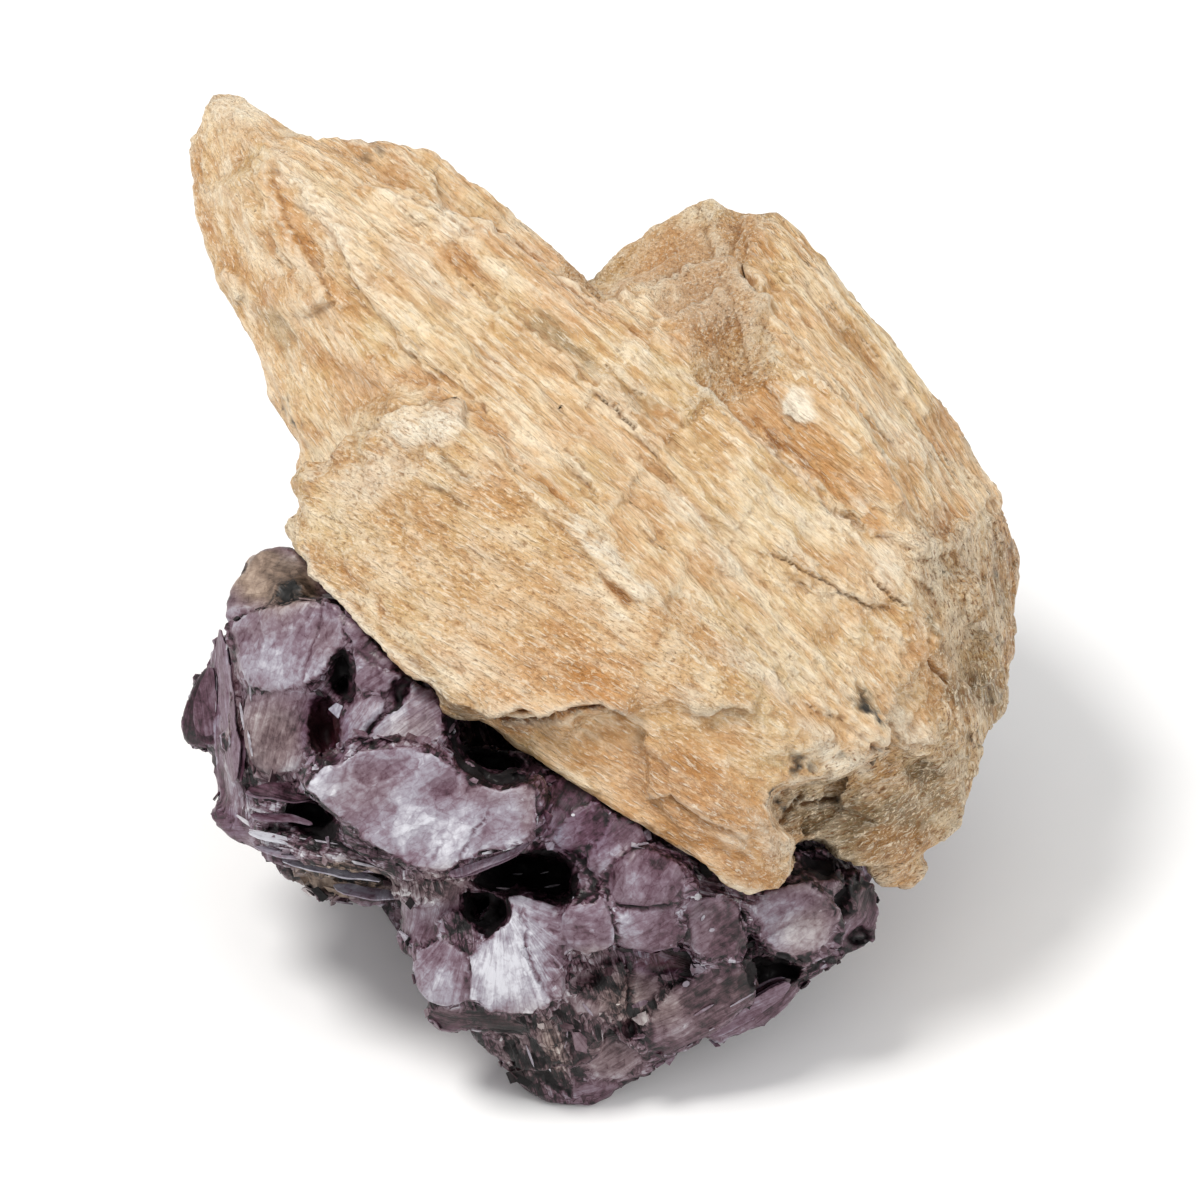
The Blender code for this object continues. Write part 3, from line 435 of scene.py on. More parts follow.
# Brown stains, and painted shade under the bottom ledge, on the shaded face of the right crystal and along its
# contact with the main blade, and along the strip's crack: strength, radius in pixels along and across, turn in
# degrees, and the centre in pixels.
BROWN_STAINS_AND_PAINTED_SHADE = {
    "fold_stain": (1.0, 44, 20, -12, (418, 376)), "fold_tail": (0.75, 60, 34, -30, (360, 380)),
    "fold_low": (0.9, 40, 16, -40, (440, 404)), "left_strip": (0.8, 74, 15, -62, (296, 226)),
    "left_strip_low": (0.5, 60, 24, -60, (336, 300)), "tip_stain": (0.5, 40, 16, -20, (250, 130)),
    "tip_side": (0.6, 34, 8, -75, (196, 160)), "left_stain": (0.55, 60, 18, -50, (236, 262)),
    "groove_stain": (0.8, 50, 15, -48, (492, 432)), "orange_line": (0.9, 36, 6, -43, (562, 500)),
    "orange_pool": (1.1, 26, 11, -38, (622, 590)), "block_stain": (0.5, 60, 30, -30, (490, 500)),
    "block_patch": (0.45, 80, 40, -35, (560, 600)), "block_low": (0.5, 90, 34, -30, (520, 670)),
    "ledge_painted_shadow": (1.4, 60, 9, 0, (600, 714)), "ledge_left": (1.3, 50, 12, -8, (516, 722)),
    "block_wash": (0.4, 200, 96, -38, (470, 580)), "tail_wash": (1.05, 150, 76, -36, (690, 800)), "tail_start": (0.7, 120, 30, -36, (560, 740)), "low_block_wash": (0.9, 140, 44, -20, (580, 680)),
    "ledge_foot": (0.8, 90, 14, -10, (560, 734)), "tail_stain": (0.4, 60, 24, -38, (700, 770)),
    "tail_low": (1.05, 50, 24, -30, (740, 866)), "tail_pool": (0.4, 30, 12, -30, (730, 826)),
    "tier_stain": (0.85, 46, 15, -42, (470, 266)), "right_painted_shade": (0.9, 120, 34, -44, (796, 434)),
    "right_hollow": (0.9, 24, 14, -60, (872, 520)), "right_spot": (0.9, 22, 14, -20, (772, 404)),
    "peak_stain": (0.9, 80, 44, 0, (664, 256)), "peak_wash": (0.95, 70, 70, 0, (716, 310)), "peak_orange": (0.9, 30, 50, 20, (744, 240)), "peak_pool": (0.6, 40, 20, 60, (706, 346)),
    "peak_gold": (0.6, 30, 22, 0, (688, 352)), "strip_stain": (0.8, 44, 12, -86, (746, 236)),
    "strip_low": (0.75, 28, 12, -60, (770, 290)), "block_gold": (0.5, 36, 20, -30, (806, 712)),
    "left_recess": (0.9, 24, 14, -60, (306, 430)), "low_rim": (0.9, 30, 10, -50, (346, 572)),
    "low_rim_b": (0.9, 30, 9, -50, (376, 606)), "side_stain": (0.4, 60, 30, -70, (940, 670)),
    "foot_stain": (0.7, 60, 26, 10, (900, 846)), "foot_high": (0.6, 40, 16, 10, (880, 784)),
    "foot_low": (0.8, 36, 16, 0, (904, 880)), "middle_spot": (0.7, 22, 7, -42, (668, 420)),
    "contact_line": (1.3, 100, 11, -42, (790, 450)), "strip_shade": (0.6, 90, 8, -38, (560, 284)),
    "merge_stain": (0.6, 50, 20, -40, (716, 650)), "merge_low": (0.6, 44, 18, -40, (790, 700)),
}

# Olive and grey-brown tints, and painted shade in the foot's recess, the dark hollow, the olive band's groove and
# under the right part of the bottom ledge, in the same way.
OLIVE_TINTS_AND_PAINTED_SHADE = {
    "peak_corner": (0.4, 36, 14, 52, (606, 268)),
    "olive_band": (0.75, 66, 13, -42, (566, 346)), "olive_tail": (0.4, 60, 14, -40, (640, 400)),
    "block_shade": (0.55, 40, 9, -38, (456, 468)), "block_slit": (0.45, 40, 8, -25, (446, 496)),
    "foot_shade": (0.9, 54, 36, 0, (816, 812)), "foot_shade_right": (1.0, 80, 50, 0, (880, 826)),
    "foot_pool": (0.9, 30, 16, -30, (928, 774)), "foot_brown": (0.8, 36, 14, 0, (900, 802)),
    "rough_shade": (0.12, 110, 56, -80, (980, 630)), "rough_pool": (1.1, 30, 16, -70, (956, 690)), "rough_edge": (0.9, 50, 9, -84, (1004, 610)),
    "hollow_shade": (1.2, 34, 20, -10, (922, 772)), "rough_line": (0.9, 50, 8, -70, (938, 640)), "rough_low": (0.8, 60, 26, -70, (990, 690)), "rough_brown": (0.8, 40, 22, -40, (936, 790)),
    "nub": (0.9, 26, 20, 0, (1010, 556)), "rough_foot": (0.4, 70, 40, -80, (960, 790)),
    "left_low": (0.5, 40, 16, -60, (280, 330)), "ledge_shade": (0.6, 50, 9, -5, (730, 712)),
    "shelf_shade": (0.7, 26, 9, -40, (862, 704)), "low_edge": (0.5, 60, 14, -45, (440, 690)),
    "rough_spread": (0.15, 60, 40, 0, (940, 590)),
}

# Dark mineral specks: radius in pixels and centre.
DARK_SPECKS = {
    "top_speck": (17, (370, 154)), "left_speck": (11, (282, 402)), "left_speck_low": (10, (294, 424)),
    "shelf_speck": (19, (862, 706)), "shelf_speck_low": (11, (874, 722)), "ledge_speck": (20, (802, 764)),
    "ledge_speck_low": (9, (846, 756)), "nub_speck": (18, (1008, 548)), "side_speck": (15, (992, 690)),
    "side_speck_high": (9, (1000, 604)), "edge_speck": (12, (1006, 578)), "edge_speck_low": (10, (1002, 640)), "hollow_speck": (12, (924, 770)),
    "low_speck": (9, (972, 734)), "rough_speck": (9, (948, 652)), "foot_speck": (12, (838, 802)), "foot_speck_low": (9, (786, 812)),
    "shelf_slot": (8, (878, 748)), "recess_speck": (8, (776, 800)),
}

# Pale patches, with painted highlights on the tip, along the ridge and on a spot below the upper tier, and painted
# light on the peak where the main blade shades it: strength, radius along and across, turn and centre.
PALE_PATCHES_AND_PAINTED_HIGHLIGHTS = {
    "white_spot": (2.6, 26, 17, -40, (802, 410)), "tier_corner": (0.8, 40, 14, -30, (450, 224)),
    "ridge_painted_highlight": (0.7, 120, 15, -55, (326, 220)), "tip_painted_highlight": (0.6, 34, 24, 0, (228, 106)),
    "grey_painted_highlight": (0.8, 40, 16, -40, (436, 288)), "grey_painted_highlight_high": (0.6, 34, 14, -40, (406, 258)),
    "cream_line": (1.1, 74, 9, -43, (602, 552)), "cream_end": (0.8, 26, 10, -40, (640, 584)),
    "block_lumps": (1.2, 50, 24, 10, (430, 430)), "block_lumps_left": (0.6, 60, 26, 20, (370, 478)),
    "sheet_light": (0.8, 60, 16, -42, (690, 516)), "sheet_low": (0.5, 40, 20, -30, (724, 556)),
    "edge_light": (0.8, 70, 10, -45, (780, 496)), "right_light": (0.3, 50, 8, -62, (750, 330)),
    "right_light_low": (0.5, 50, 14, -50, (900, 436)), "shelf_light": (0.9, 44, 16, -20, (840, 756)),
    "shelf_high": (0.6, 40, 14, -35, (820, 736)), "step_light": (0.6, 34, 18, -40, (908, 730)),
    "tail_light": (0.6, 44, 14, -50, (770, 840)), "tail_wedge": (0.6, 26, 12, -30, (736, 838)),
    "merge_light": (0.7, 80, 14, -40, (760, 672)), "small_white": (1.0, 16, 7, -20, (622, 616)),
    "right_white": (0.8, 14, 10, 0, (858, 500)), "foot_light": (0.7, 16, 40, 0, (884, 560)),
    # On the next line, the middle patch is painted light on the peak, where the main blade shades it.
    "left_light": (0.4, 26, 18, 0, (222, 196)), "peak_painted_light": (0.3, 70, 44, 0, (704, 300)), "edge_tip": (0.7, 26, 10, -50, (640, 358)),
}

# Thin bright rims where light comes through the edge: half width in pixels and the line in pixels.
PALE_RIMS = {
    "tail_rim": (5, [(680, 850), (704, 872), (730, 888), (776, 897), (792, 880), (796, 862), (790, 840),
                     (776, 820), (766, 808), (776, 796), (792, 784), (826, 780), (858, 768), (886, 750)]),
    "block_rim": (4, [(300, 550), (320, 578), (350, 606), (380, 640), (412, 664), (440, 694)]),
    "edge_rim": (3, [(680, 372), (700, 384), (728, 408), (764, 440), (800, 474), (830, 508), (862, 532)]),
}


def crystal_axes(step):
    """A crystal's directions along its fibres, across them and in depth."""
    along = ACROSS * step[0] - UP * step[1] + OUT * step[2] * MM / PIXEL
    along = along / np.linalg.norm(along)
    side = np.cross(OUT, along)
    side = side / np.linalg.norm(side)
    return np.stack((along, side, np.cross(along, side)))


def crystal_shares(places):
    """How much each place belongs to each crystal."""
    distances = np.stack([np.min([np.linalg.norm(places - spot(*a), axis=1) for a in anchors], axis=0)
                          for anchors, *_ in CRYSTALS.values()], axis=1)
    distances += 1.2 * MM * np.stack([smooth_noise(places / (4 * MM), 70 + i) for i in range(len(CRYSTALS))], axis=1)
    shares = np.exp(-(distances - distances.min(axis=1)[:, None]) / (0.6 * MM))
    return shares / shares.sum(axis=1)[:, None]


def seen_depth(tree, pixel):
    """The depth in mm of the surface that is seen at a pixel."""
    camera = VIEW_CENTRE + OUT * CAMERA_DISTANCE
    sight = Vector(spot(*pixel, 0) - camera).normalized()
    place = tree.ray_cast(Vector(camera), sight)[0]
    return (np.array(place) - VIEW_CENTRE) @ OUT / MM


def filled_feldspar(core):
    """The crystals with the grooves between them filled, as one mesh of overlapping bodies."""
    corners = [corner_places(core)]
    faces = [tuple(p.vertices) for p in core.polygons]
    count = len(core.vertices)
    tree = BVHTree.FromPolygons([v.co[:] for v in core.vertices], faces)
    for sunk, near_bank, far_bank in FELDSPAR_FILLINGS.values():
        near = [(p, seen_depth(tree, p) - sunk) for p in near_bank]
        far = [(p, seen_depth(tree, p) - sunk) for p in far_bank]
        for quad in zip(near, near[1:], far[1:], far):
            top = [spot(*pixel, depth) for pixel, depth in quad]
            corners.append(np.array(top + [p - OUT * 5 * MM for p in top]))
            faces += [tuple(count + i for i in face) for face in (
                (0, 1, 2), (0, 2, 3), (7, 6, 5), (7, 5, 4), (0, 4, 5, 1), (1, 5, 6, 2), (2, 6, 7, 3), (3, 7, 4, 0))]
            count += 8
    return mesh_from("filled", np.concatenate(corners), faces, smooth=False)


def hollowed(places, pixels, hollows):
    """Places pushed back to the planes of the hollows that they stand in front of."""
    _, depth = seen_at(places)
    lowest = depth.copy()
    for middle_depth, lean_right, lean_up, outline in hollows.values():
        middle = np.mean(outline, axis=0)
        across = (pixels - middle) * PIXEL / MM
        plane = middle_depth - math.tan(math.radians(lean_right)) * across[:, 0]
        plane += math.tan(math.radians(lean_up)) * across[:, 1]
        inside = smooth_step(-1, 4, inside_distance(pixels, outline))
        lowest = np.minimum(lowest, np.where(depth > plane, depth + (plane - depth) * inside, depth))
    return places + OUT * ((lowest - depth) * MM)[:, None]


def ledge_heights(pixels, ledges):
    height = np.zeros(len(pixels))
    for rise, width, high_side, line in ledges.values():
        distance, share, away = segment_distance(pixels, line)
        signed = distance * np.sign(away @ np.array(high_side, float))
        ends = smooth_step(0, 0.1, share) * smooth_step(1, 0.9, share)
        height += rise * ends * smooth_step(-1.5, 1.5, signed) * (1 - smooth_step(0.1, 1.0, signed / width))
    return height


def crystal_relief(places, normals, pixels):
    """The relief in mm that each crystal's ribs and grains give, and how grainy it is."""
    shares = crystal_shares(places)
    relief = np.zeros(len(places))
    grainy = np.zeros(len(places))
    for number, (_, step, ribs, grains) in enumerate(CRYSTALS.values()):
        chosen = np.flatnonzero(shares[:, number] > 0.03)
        if len(chosen) == 0:
            continue
        axes = crystal_axes(step)
        fibre = places[chosen] @ axes.T / MM
        seed = 100 * number
        warp = np.stack([smooth_noise(fibre / 6 + 40 * i, seed + i) for i in range(3)], axis=1)
        bent = fibre + warp * (1.5, 0.7, 0.7)
        broken = smooth_step(0.45, 0.9, np.abs(normals[chosen] @ axes[0]))
        grainy_here = np.maximum(grains, broken)
        bars = terraces(2.2 * layered_noise(bent / (15, 2.6, 2.6), seed + 11)) / 2.2
        threads = terraces(2.6 * layered_noise(bent / (6, 0.8, 0.8), seed + 12, 2), 0.4) / 2.6
        splinters = chip_noise(bent / (5, 0.9, 0.9), seed + 13)
        crumbs = chip_noise(bent / (2.0, 1.1, 1.1), seed + 16)
        lumps = layered_noise(fibre / (7, 4, 4), seed + 14)
        along = 0.42 * bars + 0.22 * threads + 0.24 * splinters
        here = ribs * (1 - 0.5 * grainy_here) * along + 0.26 * grainy_here * crumbs + 0.22 * lumps
        relief[chosen] += here * shares[chosen, number]
        grainy[chosen] += grainy_here * shares[chosen, number]
    return relief, grainy


def shape_feldspar(voxel_size, most_triangles):
    mesh = voxel_mesh(filled_feldspar(frame["nodes"]["feldspar_crystals"].data), 0.4 * MM)
    places = corner_places(mesh)
    places = relaxed(places, edge_ends(mesh), 1)
    pixels, _ = seen_at(places)
    wander = np.stack([smooth_noise(places / (2.5 * MM), 18 + i) for i in range(2)], axis=1) * 5
    set_places(mesh, hollowed(places, pixels + wander, FELDSPAR_HOLLOWS))
    mesh = voxel_mesh(mesh, voxel_size)
    places = corner_places(mesh)
    edges = edge_ends(mesh)
    normals = relaxed(corner_normals(mesh), edges, 4)
    normals /= np.linalg.norm(normals, axis=1)[:, None]
    pixels, depth = seen_at(places)
    facing = smooth_step(0.0, 0.25, normals @ OUT) * smooth_step(-14, -6, depth)
    wander = np.stack([smooth_noise(places / (2.5 * MM), 18 + i) for i in range(2)], axis=1) * 4
    wander += np.stack([smooth_noise(places / (0.8 * MM), 23 + i) for i in range(2)], axis=1) * 2

    relief, grainy = crystal_relief(places, normals, pixels)
    cut = line_cuts(pixels + wander, FELDSPAR_CRACKS) * facing
    relief += ledge_heights(pixels + wander, FELDSPAR_LEDGES) * facing - cut - 0.15
    edge = relief - relaxed(relief[:, None], edges, 5)[:, 0]
    set_places(mesh, places + normals * (relief * MM)[:, None])

    mottled = pixels + wander * 2.5
    speck = np.zeros(len(places))
    for radius, centre in DARK_SPECKS.values():
        speck = np.maximum(speck, ellipse_mask(mottled, radius, radius * 0.7, -30, centre))
    speck *= smooth_step(-0.1, 0.2, chip_noise(places / (0.9 * MM), 21))
    rim = np.zeros(len(places))
    for half_width, line in PALE_RIMS.values():
        rim = np.maximum(rim, 1 - smooth_step(0.3, 1, segment_distance(pixels + wander * 0.5, line)[0] / half_width))
    stain_and_painted_shade, olive_and_painted_shade = strongest(mottled, BROWN_STAINS_AND_PAINTED_SHADE), strongest(mottled, OLIVE_TINTS_AND_PAINTED_SHADE)
    hidden = 1 - facing
    hidden_stain = 0.8 * smooth_step(0.1, 0.7, layered_noise(places / (12 * MM), 22)) * hidden
    hidden_olive = 0.6 * smooth_step(0.1, 0.7, layered_noise(places / (9 * MM), 25)) * hidden
    # The cracks' cut depth is added as painted shade in the cracks.
    store_number(mesh, "stain_and_painted_shade", np.maximum(stain_and_painted_shade * facing, hidden_stain) + 0.7 * cut)
    store_number(mesh, "olive_and_painted_shade", np.maximum(olive_and_painted_shade * facing, hidden_olive))
    store_number(mesh, "pale_and_painted_light", np.maximum(strongest(mottled, PALE_PATCHES_AND_PAINTED_HIGHLIGHTS), 0.9 * rim) * facing)
    store_number(mesh, "speck", speck * facing)
    store_number(mesh, "edge", np.clip(edge * 4, -1, 1))
    store_number(mesh, "grainy", grainy)
    mesh = thinned(mesh, most_triangles)
    store_fibres(mesh)
    return mesh


def store_fibres(mesh):
    """Stores at each face's corners its place in the frame of the crystal that the face belongs to."""
    places = corner_places(mesh)
    crystal = np.argmax(crystal_shares(places), axis=1)
    corners = np.empty(len(mesh.loops), dtype=np.int64)
    mesh.loops.foreach_get("vertex_index", corners)
    sides = np.empty(len(mesh.polygons), dtype=np.int64)
    mesh.polygons.foreach_get("loop_total", sides)
    starts = np.concatenate(([0], np.cumsum(sides)[:-1]))
    owner = np.repeat(crystal[corners[starts]], sides)
    turned = np.zeros((len(corners), 3))
    for number, (_, step, *_) in enumerate(CRYSTALS.values()):
        chosen = owner == number
        turned[chosen] = places[corners[chosen]] @ crystal_axes(step).T / MM + 30 * number
    layer = mesh.attributes.new("fibre", "FLOAT_VECTOR", "CORNER")
    layer.data.foreach_set("vector", turned.astype(np.float32).ravel())


# Mica shapes

# The showing faces of mica: depth in mm, lean to the right and up in degrees, bulge in mm, tone from dark
# to silver (partly the mica's own colour, partly painted sheen on plates that face the light), strength of the
# wrinkles, the run of the wrinkles in degrees or the pixel they spread from, and the outline in pixels.
MICA_FACES = {
    "great_face": (17.4, -4, -12, -0.5, 0.63, 0.25, 30, [
        (306, 790), (312, 776), (330, 763), (350, 754), (368, 748), (400, 746), (432, 752), (452, 766),
        (472, 782), (500, 787), (524, 784), (536, 790), (538, 806), (534, 836), (510, 848), (478, 854),
        (460, 867), (440, 871), (416, 871), (398, 862), (376, 846), (352, 830), (328, 812)]),
    "great_wing": (17.2, 14, -8, 0.3, 0.6, 0.6, (452, 880), [
        (474, 800), (500, 790), (526, 786), (538, 798), (536, 834), (514, 847), (478, 854), (460, 866),
        (450, 866), (462, 836)]),
    "great_left": (16.6, -22, 8, 0.3, 0.5, 0.7, 40, [
        (306, 790), (312, 776), (330, 763), (352, 756), (374, 752), (370, 780), (362, 806), (352, 828),
        (328, 812)]),
    "shoulder_face": (9.4, -30, 6, 0.4, 0.56, 0.35, 60, [
        (222, 628), (246, 611), (280, 603), (316, 597), (328, 604), (340, 620), (346, 636), (336, 652),
        (322, 672), (306, 684), (276, 692), (248, 690), (238, 672), (232, 648)]),
    "shoulder_low": (7.2, -34, -16, 0.4, 0.4, 0.9, 72, [
        (240, 694), (262, 692), (300, 688), (316, 700), (314, 728), (306, 750), (296, 772), (270, 778),
        (248, 772), (240, 740)]),
    "brown_face": (4.0, -24, 26, 0.5, 0.44, 0.4, -20, [
        (221, 620), (222, 600), (228, 586), (244, 570), (246, 556), (256, 547), (284, 543), (298, 552),
        (312, 566), (322, 578), (328, 592), (316, 599), (280, 604), (246, 613)]),
    "left_flake": (-4.4, -26, -4, 0.3, 0.22, 1.0, 74, [
        (178, 724), (184, 700), (196, 674), (220, 650), (228, 680), (226, 716), (214, 750), (198, 749),
        (182, 744)]),
    "strip_face": (12.4, -8, 10, 0.2, 0.4, 0.3, 48, [
        (322, 597), (338, 602), (354, 618), (376, 642), (396, 664), (384, 670), (366, 662), (352, 644),
        (340, 624)]),
    "strip_low": (12.6, -20, 14, 0.2, 0.42, 0.8, 30, [
        (350, 646), (368, 660), (386, 668), (404, 672), (404, 686), (386, 692), (362, 692), (352, 676)]),
    "inner_ridge": (12.8, -24, 10, 0.3, 0.54, 0.9, 55, [
        (340, 716), (350, 702), (366, 695), (386, 698), (382, 712), (368, 728), (356, 746), (340, 758),
        (333, 748)]),
    "inner_face": (13.6, -14, 14, 0.4, 0.5, 1.0, 35, [
        (366, 748), (372, 730), (388, 712), (400, 704), (412, 688), (426, 684), (440, 702), (446, 718),
        (442, 738), (426, 748), (400, 746)]),
    "fan_right": (11.4, 4, -26, 0.5, 0.74, 1.0, (500, 898), [
        (466, 958), (480, 944), (486, 932), (500, 920), (512, 908), (522, 912), (527, 930), (526, 950),
        (534, 970), (548, 988), (552, 1004), (534, 1014), (504, 1016), (484, 1010), (470, 1000)]),
    "fan_edge": (10.6, 22, -22, 0.3, 0.56, 1.2, (500, 898), [
        (522, 910), (546, 922), (562, 944), (568, 966), (568, 990), (554, 1005), (544, 988), (532, 968),
        (526, 946)]),
    "fan_left": (9.8, -22, -20, 0.4, 0.52, 0.8, (476, 900), [
        (408, 966), (420, 948), (442, 938), (456, 944), (468, 958), (468, 984), (472, 1002), (456, 1008),
        (430, 1006), (414, 992)]),
    "fan_cheek": (12.2, 12, 8, 0.3, 0.5, 1.2, -20, [
        (498, 897), (520, 896), (548, 902), (566, 914), (572, 932), (562, 944), (544, 924), (522, 910),
        (508, 905)]),
    "wrinkle_face": (8.8, -26, -4, 0.3, 0.42, 1.0, 68, [
        (396, 900), (410, 884), (440, 879), (468, 884), (464, 904), (452, 922), (442, 938), (418, 946),
        (404, 930)]),
    "throat_a": (13.8, 4, 10, 0.2, 0.34, 0.8, 60, [
        (542, 796), (556, 774), (580, 768), (598, 782), (592, 800), (570, 812), (552, 840), (543, 832)]),
    "throat_b": (13.9, -14, -6, 0.2, 0.4, 0.6, 35, [
        (550, 842), (570, 812), (592, 800), (612, 812), (604, 840), (584, 848), (566, 856)]),
    "throat_c": (13.4, 10, -16, 0.2, 0.36, 0.6, 35, [
        (592, 850), (612, 816), (638, 820), (652, 838), (634, 850), (612, 866), (598, 880), (584, 866)]),
    "hex_face_a": (14.6, -6, -8, 0.8, 0.36, 0.3, 60, [
        (606, 890), (610, 866), (626, 851), (652, 847), (678, 860), (688, 880), (680, 898), (668, 906),
        (640, 908), (618, 905)]),
    "hex_face_b": (13.2, -10, -24, 0.8, 0.42, 0.3, 20, [
        (558, 930), (562, 911), (578, 902), (602, 899), (616, 912), (618, 934), (612, 952), (592, 957),
        (570, 953)]),
    "hex_face_c": (12.8, 0, -22, 0.7, 0.4, 0.4, 30, [
        (617, 912), (640, 909), (672, 908), (684, 930), (680, 950), (650, 955), (620, 950)]),
    "sparkle_face": (10.2, 10, -14, 0.2, 0.3, 0.6, 30, [
        (686, 900), (708, 894), (740, 900), (750, 926), (744, 954), (716, 962), (692, 950)]),
    "right_face": (7.0, 10, -14, 0.4, 0.54, 0.4, 30, [
        (750, 906), (764, 894), (784, 884), (808, 882), (826, 892), (838, 912), (836, 936), (822, 952),
        (792, 958), (764, 944)]),
    "right_shade": (4.8, -10, 10, 0.3, 0.3, 0.8, 70, [
        (800, 866), (812, 850), (832, 852), (840, 878), (826, 890), (806, 882)]),
    "right_corner": (-1.4, 30, -4, 0.3, 0.34, 1.2, 60, [
        (846, 900), (862, 884), (880, 892), (882, 924), (870, 944), (850, 952), (838, 930)]),
    "streak_face": (5.4, 12, -34, 0.3, 0.29, 0.9, 28, [
        (646, 1044), (652, 1014), (672, 988), (704, 972), (744, 968), (760, 988), (744, 1014), (712, 1036),
        (676, 1056), (656, 1062)]),
    "streak_low": (0.4, 26, -40, 0.3, 0.28, 1.0, 28, [
        (700, 1044), (730, 1016), (760, 994), (796, 976), (800, 992), (780, 1018), (740, 1036)]),
    "fan_ledge": (5.2, -12, -44, 0.2, 0.32, 1.2, 0, [
        (424, 1016), (440, 1008), (480, 1012), (530, 1024), (520, 1038), (472, 1030), (440, 1034)]),
    "tip_face": (1.8, 10, -30, 0.3, 0.42, 0.8, 30, [
        (584, 1052), (610, 1038), (636, 1044), (646, 1062), (624, 1082), (596, 1080)]),
    "tip_low": (-1.0, 0, -40, 0.3, 0.34, 0.8, 10, [
        (570, 1082), (596, 1082), (624, 1084), (612, 1100), (588, 1106), (570, 1100)]),
    "crumb_a": (6.2, 10, 10, 0.3, 0.34, 1.0, 80, [
        (566, 984), (584, 968), (604, 974), (616, 996), (598, 1020), (574, 1012)]),
    "crumb_b": (5.8, -20, -10, 0.3, 0.42, 1.0, 20, [
        (612, 972), (634, 962), (656, 968), (664, 988), (642, 1008), (616, 1000)]),
    "left_spine": (-1.2, -58, -6, 0.2, 0.4, 1.8, 84, [
        (208, 650), (226, 636), (238, 690), (244, 760), (242, 820), (228, 830), (214, 790), (206, 720)]),
    "left_heel": (-1.2, -30, -34, 0.3, 0.3, 1.0, 20, [
        (208, 820), (222, 810), (256, 824), (296, 856), (262, 858), (228, 838)]),
    "tan_foot": (0.6, 0, -10, 0.3, 0.5, 0.5, 0, [
        (300, 864), (340, 864), (376, 872), (386, 886), (376, 896), (344, 888), (316, 892)]),
}
# Long thin sheets seen nearly edge-on: depth, lean right and up, sheets, tone and the outline in pixels.
MICA_LAMELLAE = {
    "top_blade": (6.6, 8, 50, 2, 0.36, [
        (242, 792), (262, 783), (290, 786), (318, 798), (300, 801), (268, 796)]),
    "upper_blade": (6.0, 8, 66, 1, 0.5, [
        (238, 809), (264, 810), (298, 818), (322, 828), (300, 825), (262, 818), (240, 814)]),
    "white_blade": (6.4, 8, 58, 1, 0.7, [
        (238, 833), (262, 833), (292, 838), (330, 842), (300, 846), (258, 841)]),
    "low_blade": (6.2, 4, 62, 1, 0.6, [
        (270, 860), (300, 861), (340, 868), (376, 876), (392, 884), (350, 877), (306, 870)]),
    "foot_blade": (5.6, 4, 56, 1, 0.5, [
        (330, 880), (362, 884), (394, 892), (404, 900), (370, 898), (340, 890)]),
    "silver_blade": (6.6, 6, 60, 1, 0.8, [
        (246, 842), (270, 844), (306, 850), (346, 857), (384, 866), (400, 873), (362, 868), (318, 861),
        (276, 853), (252, 848)]),
    "spine_sheets": (1.4, -60, 0, 3, 0.28, [
        (214, 636), (224, 624), (234, 680), (242, 740), (238, 790), (228, 780), (218, 720)]),
    "left_edge_sheets": (-2.8, -28, -6, 2, 0.24, [
        (188, 730), (194, 690), (212, 656), (220, 700), (216, 744), (202, 748)]),
    "keel_sheets": (1.6, 24, -40, 4, 0.36, [
        (694, 1040), (720, 1018), (770, 986), (800, 974), (796, 992), (756, 1020), (716, 1044)]),
    "great_lip": (15.6, -4, 34, 2, 0.6, [
        (440, 872), (470, 863), (516, 850), (536, 840), (528, 850), (486, 866), (452, 876)]),
}
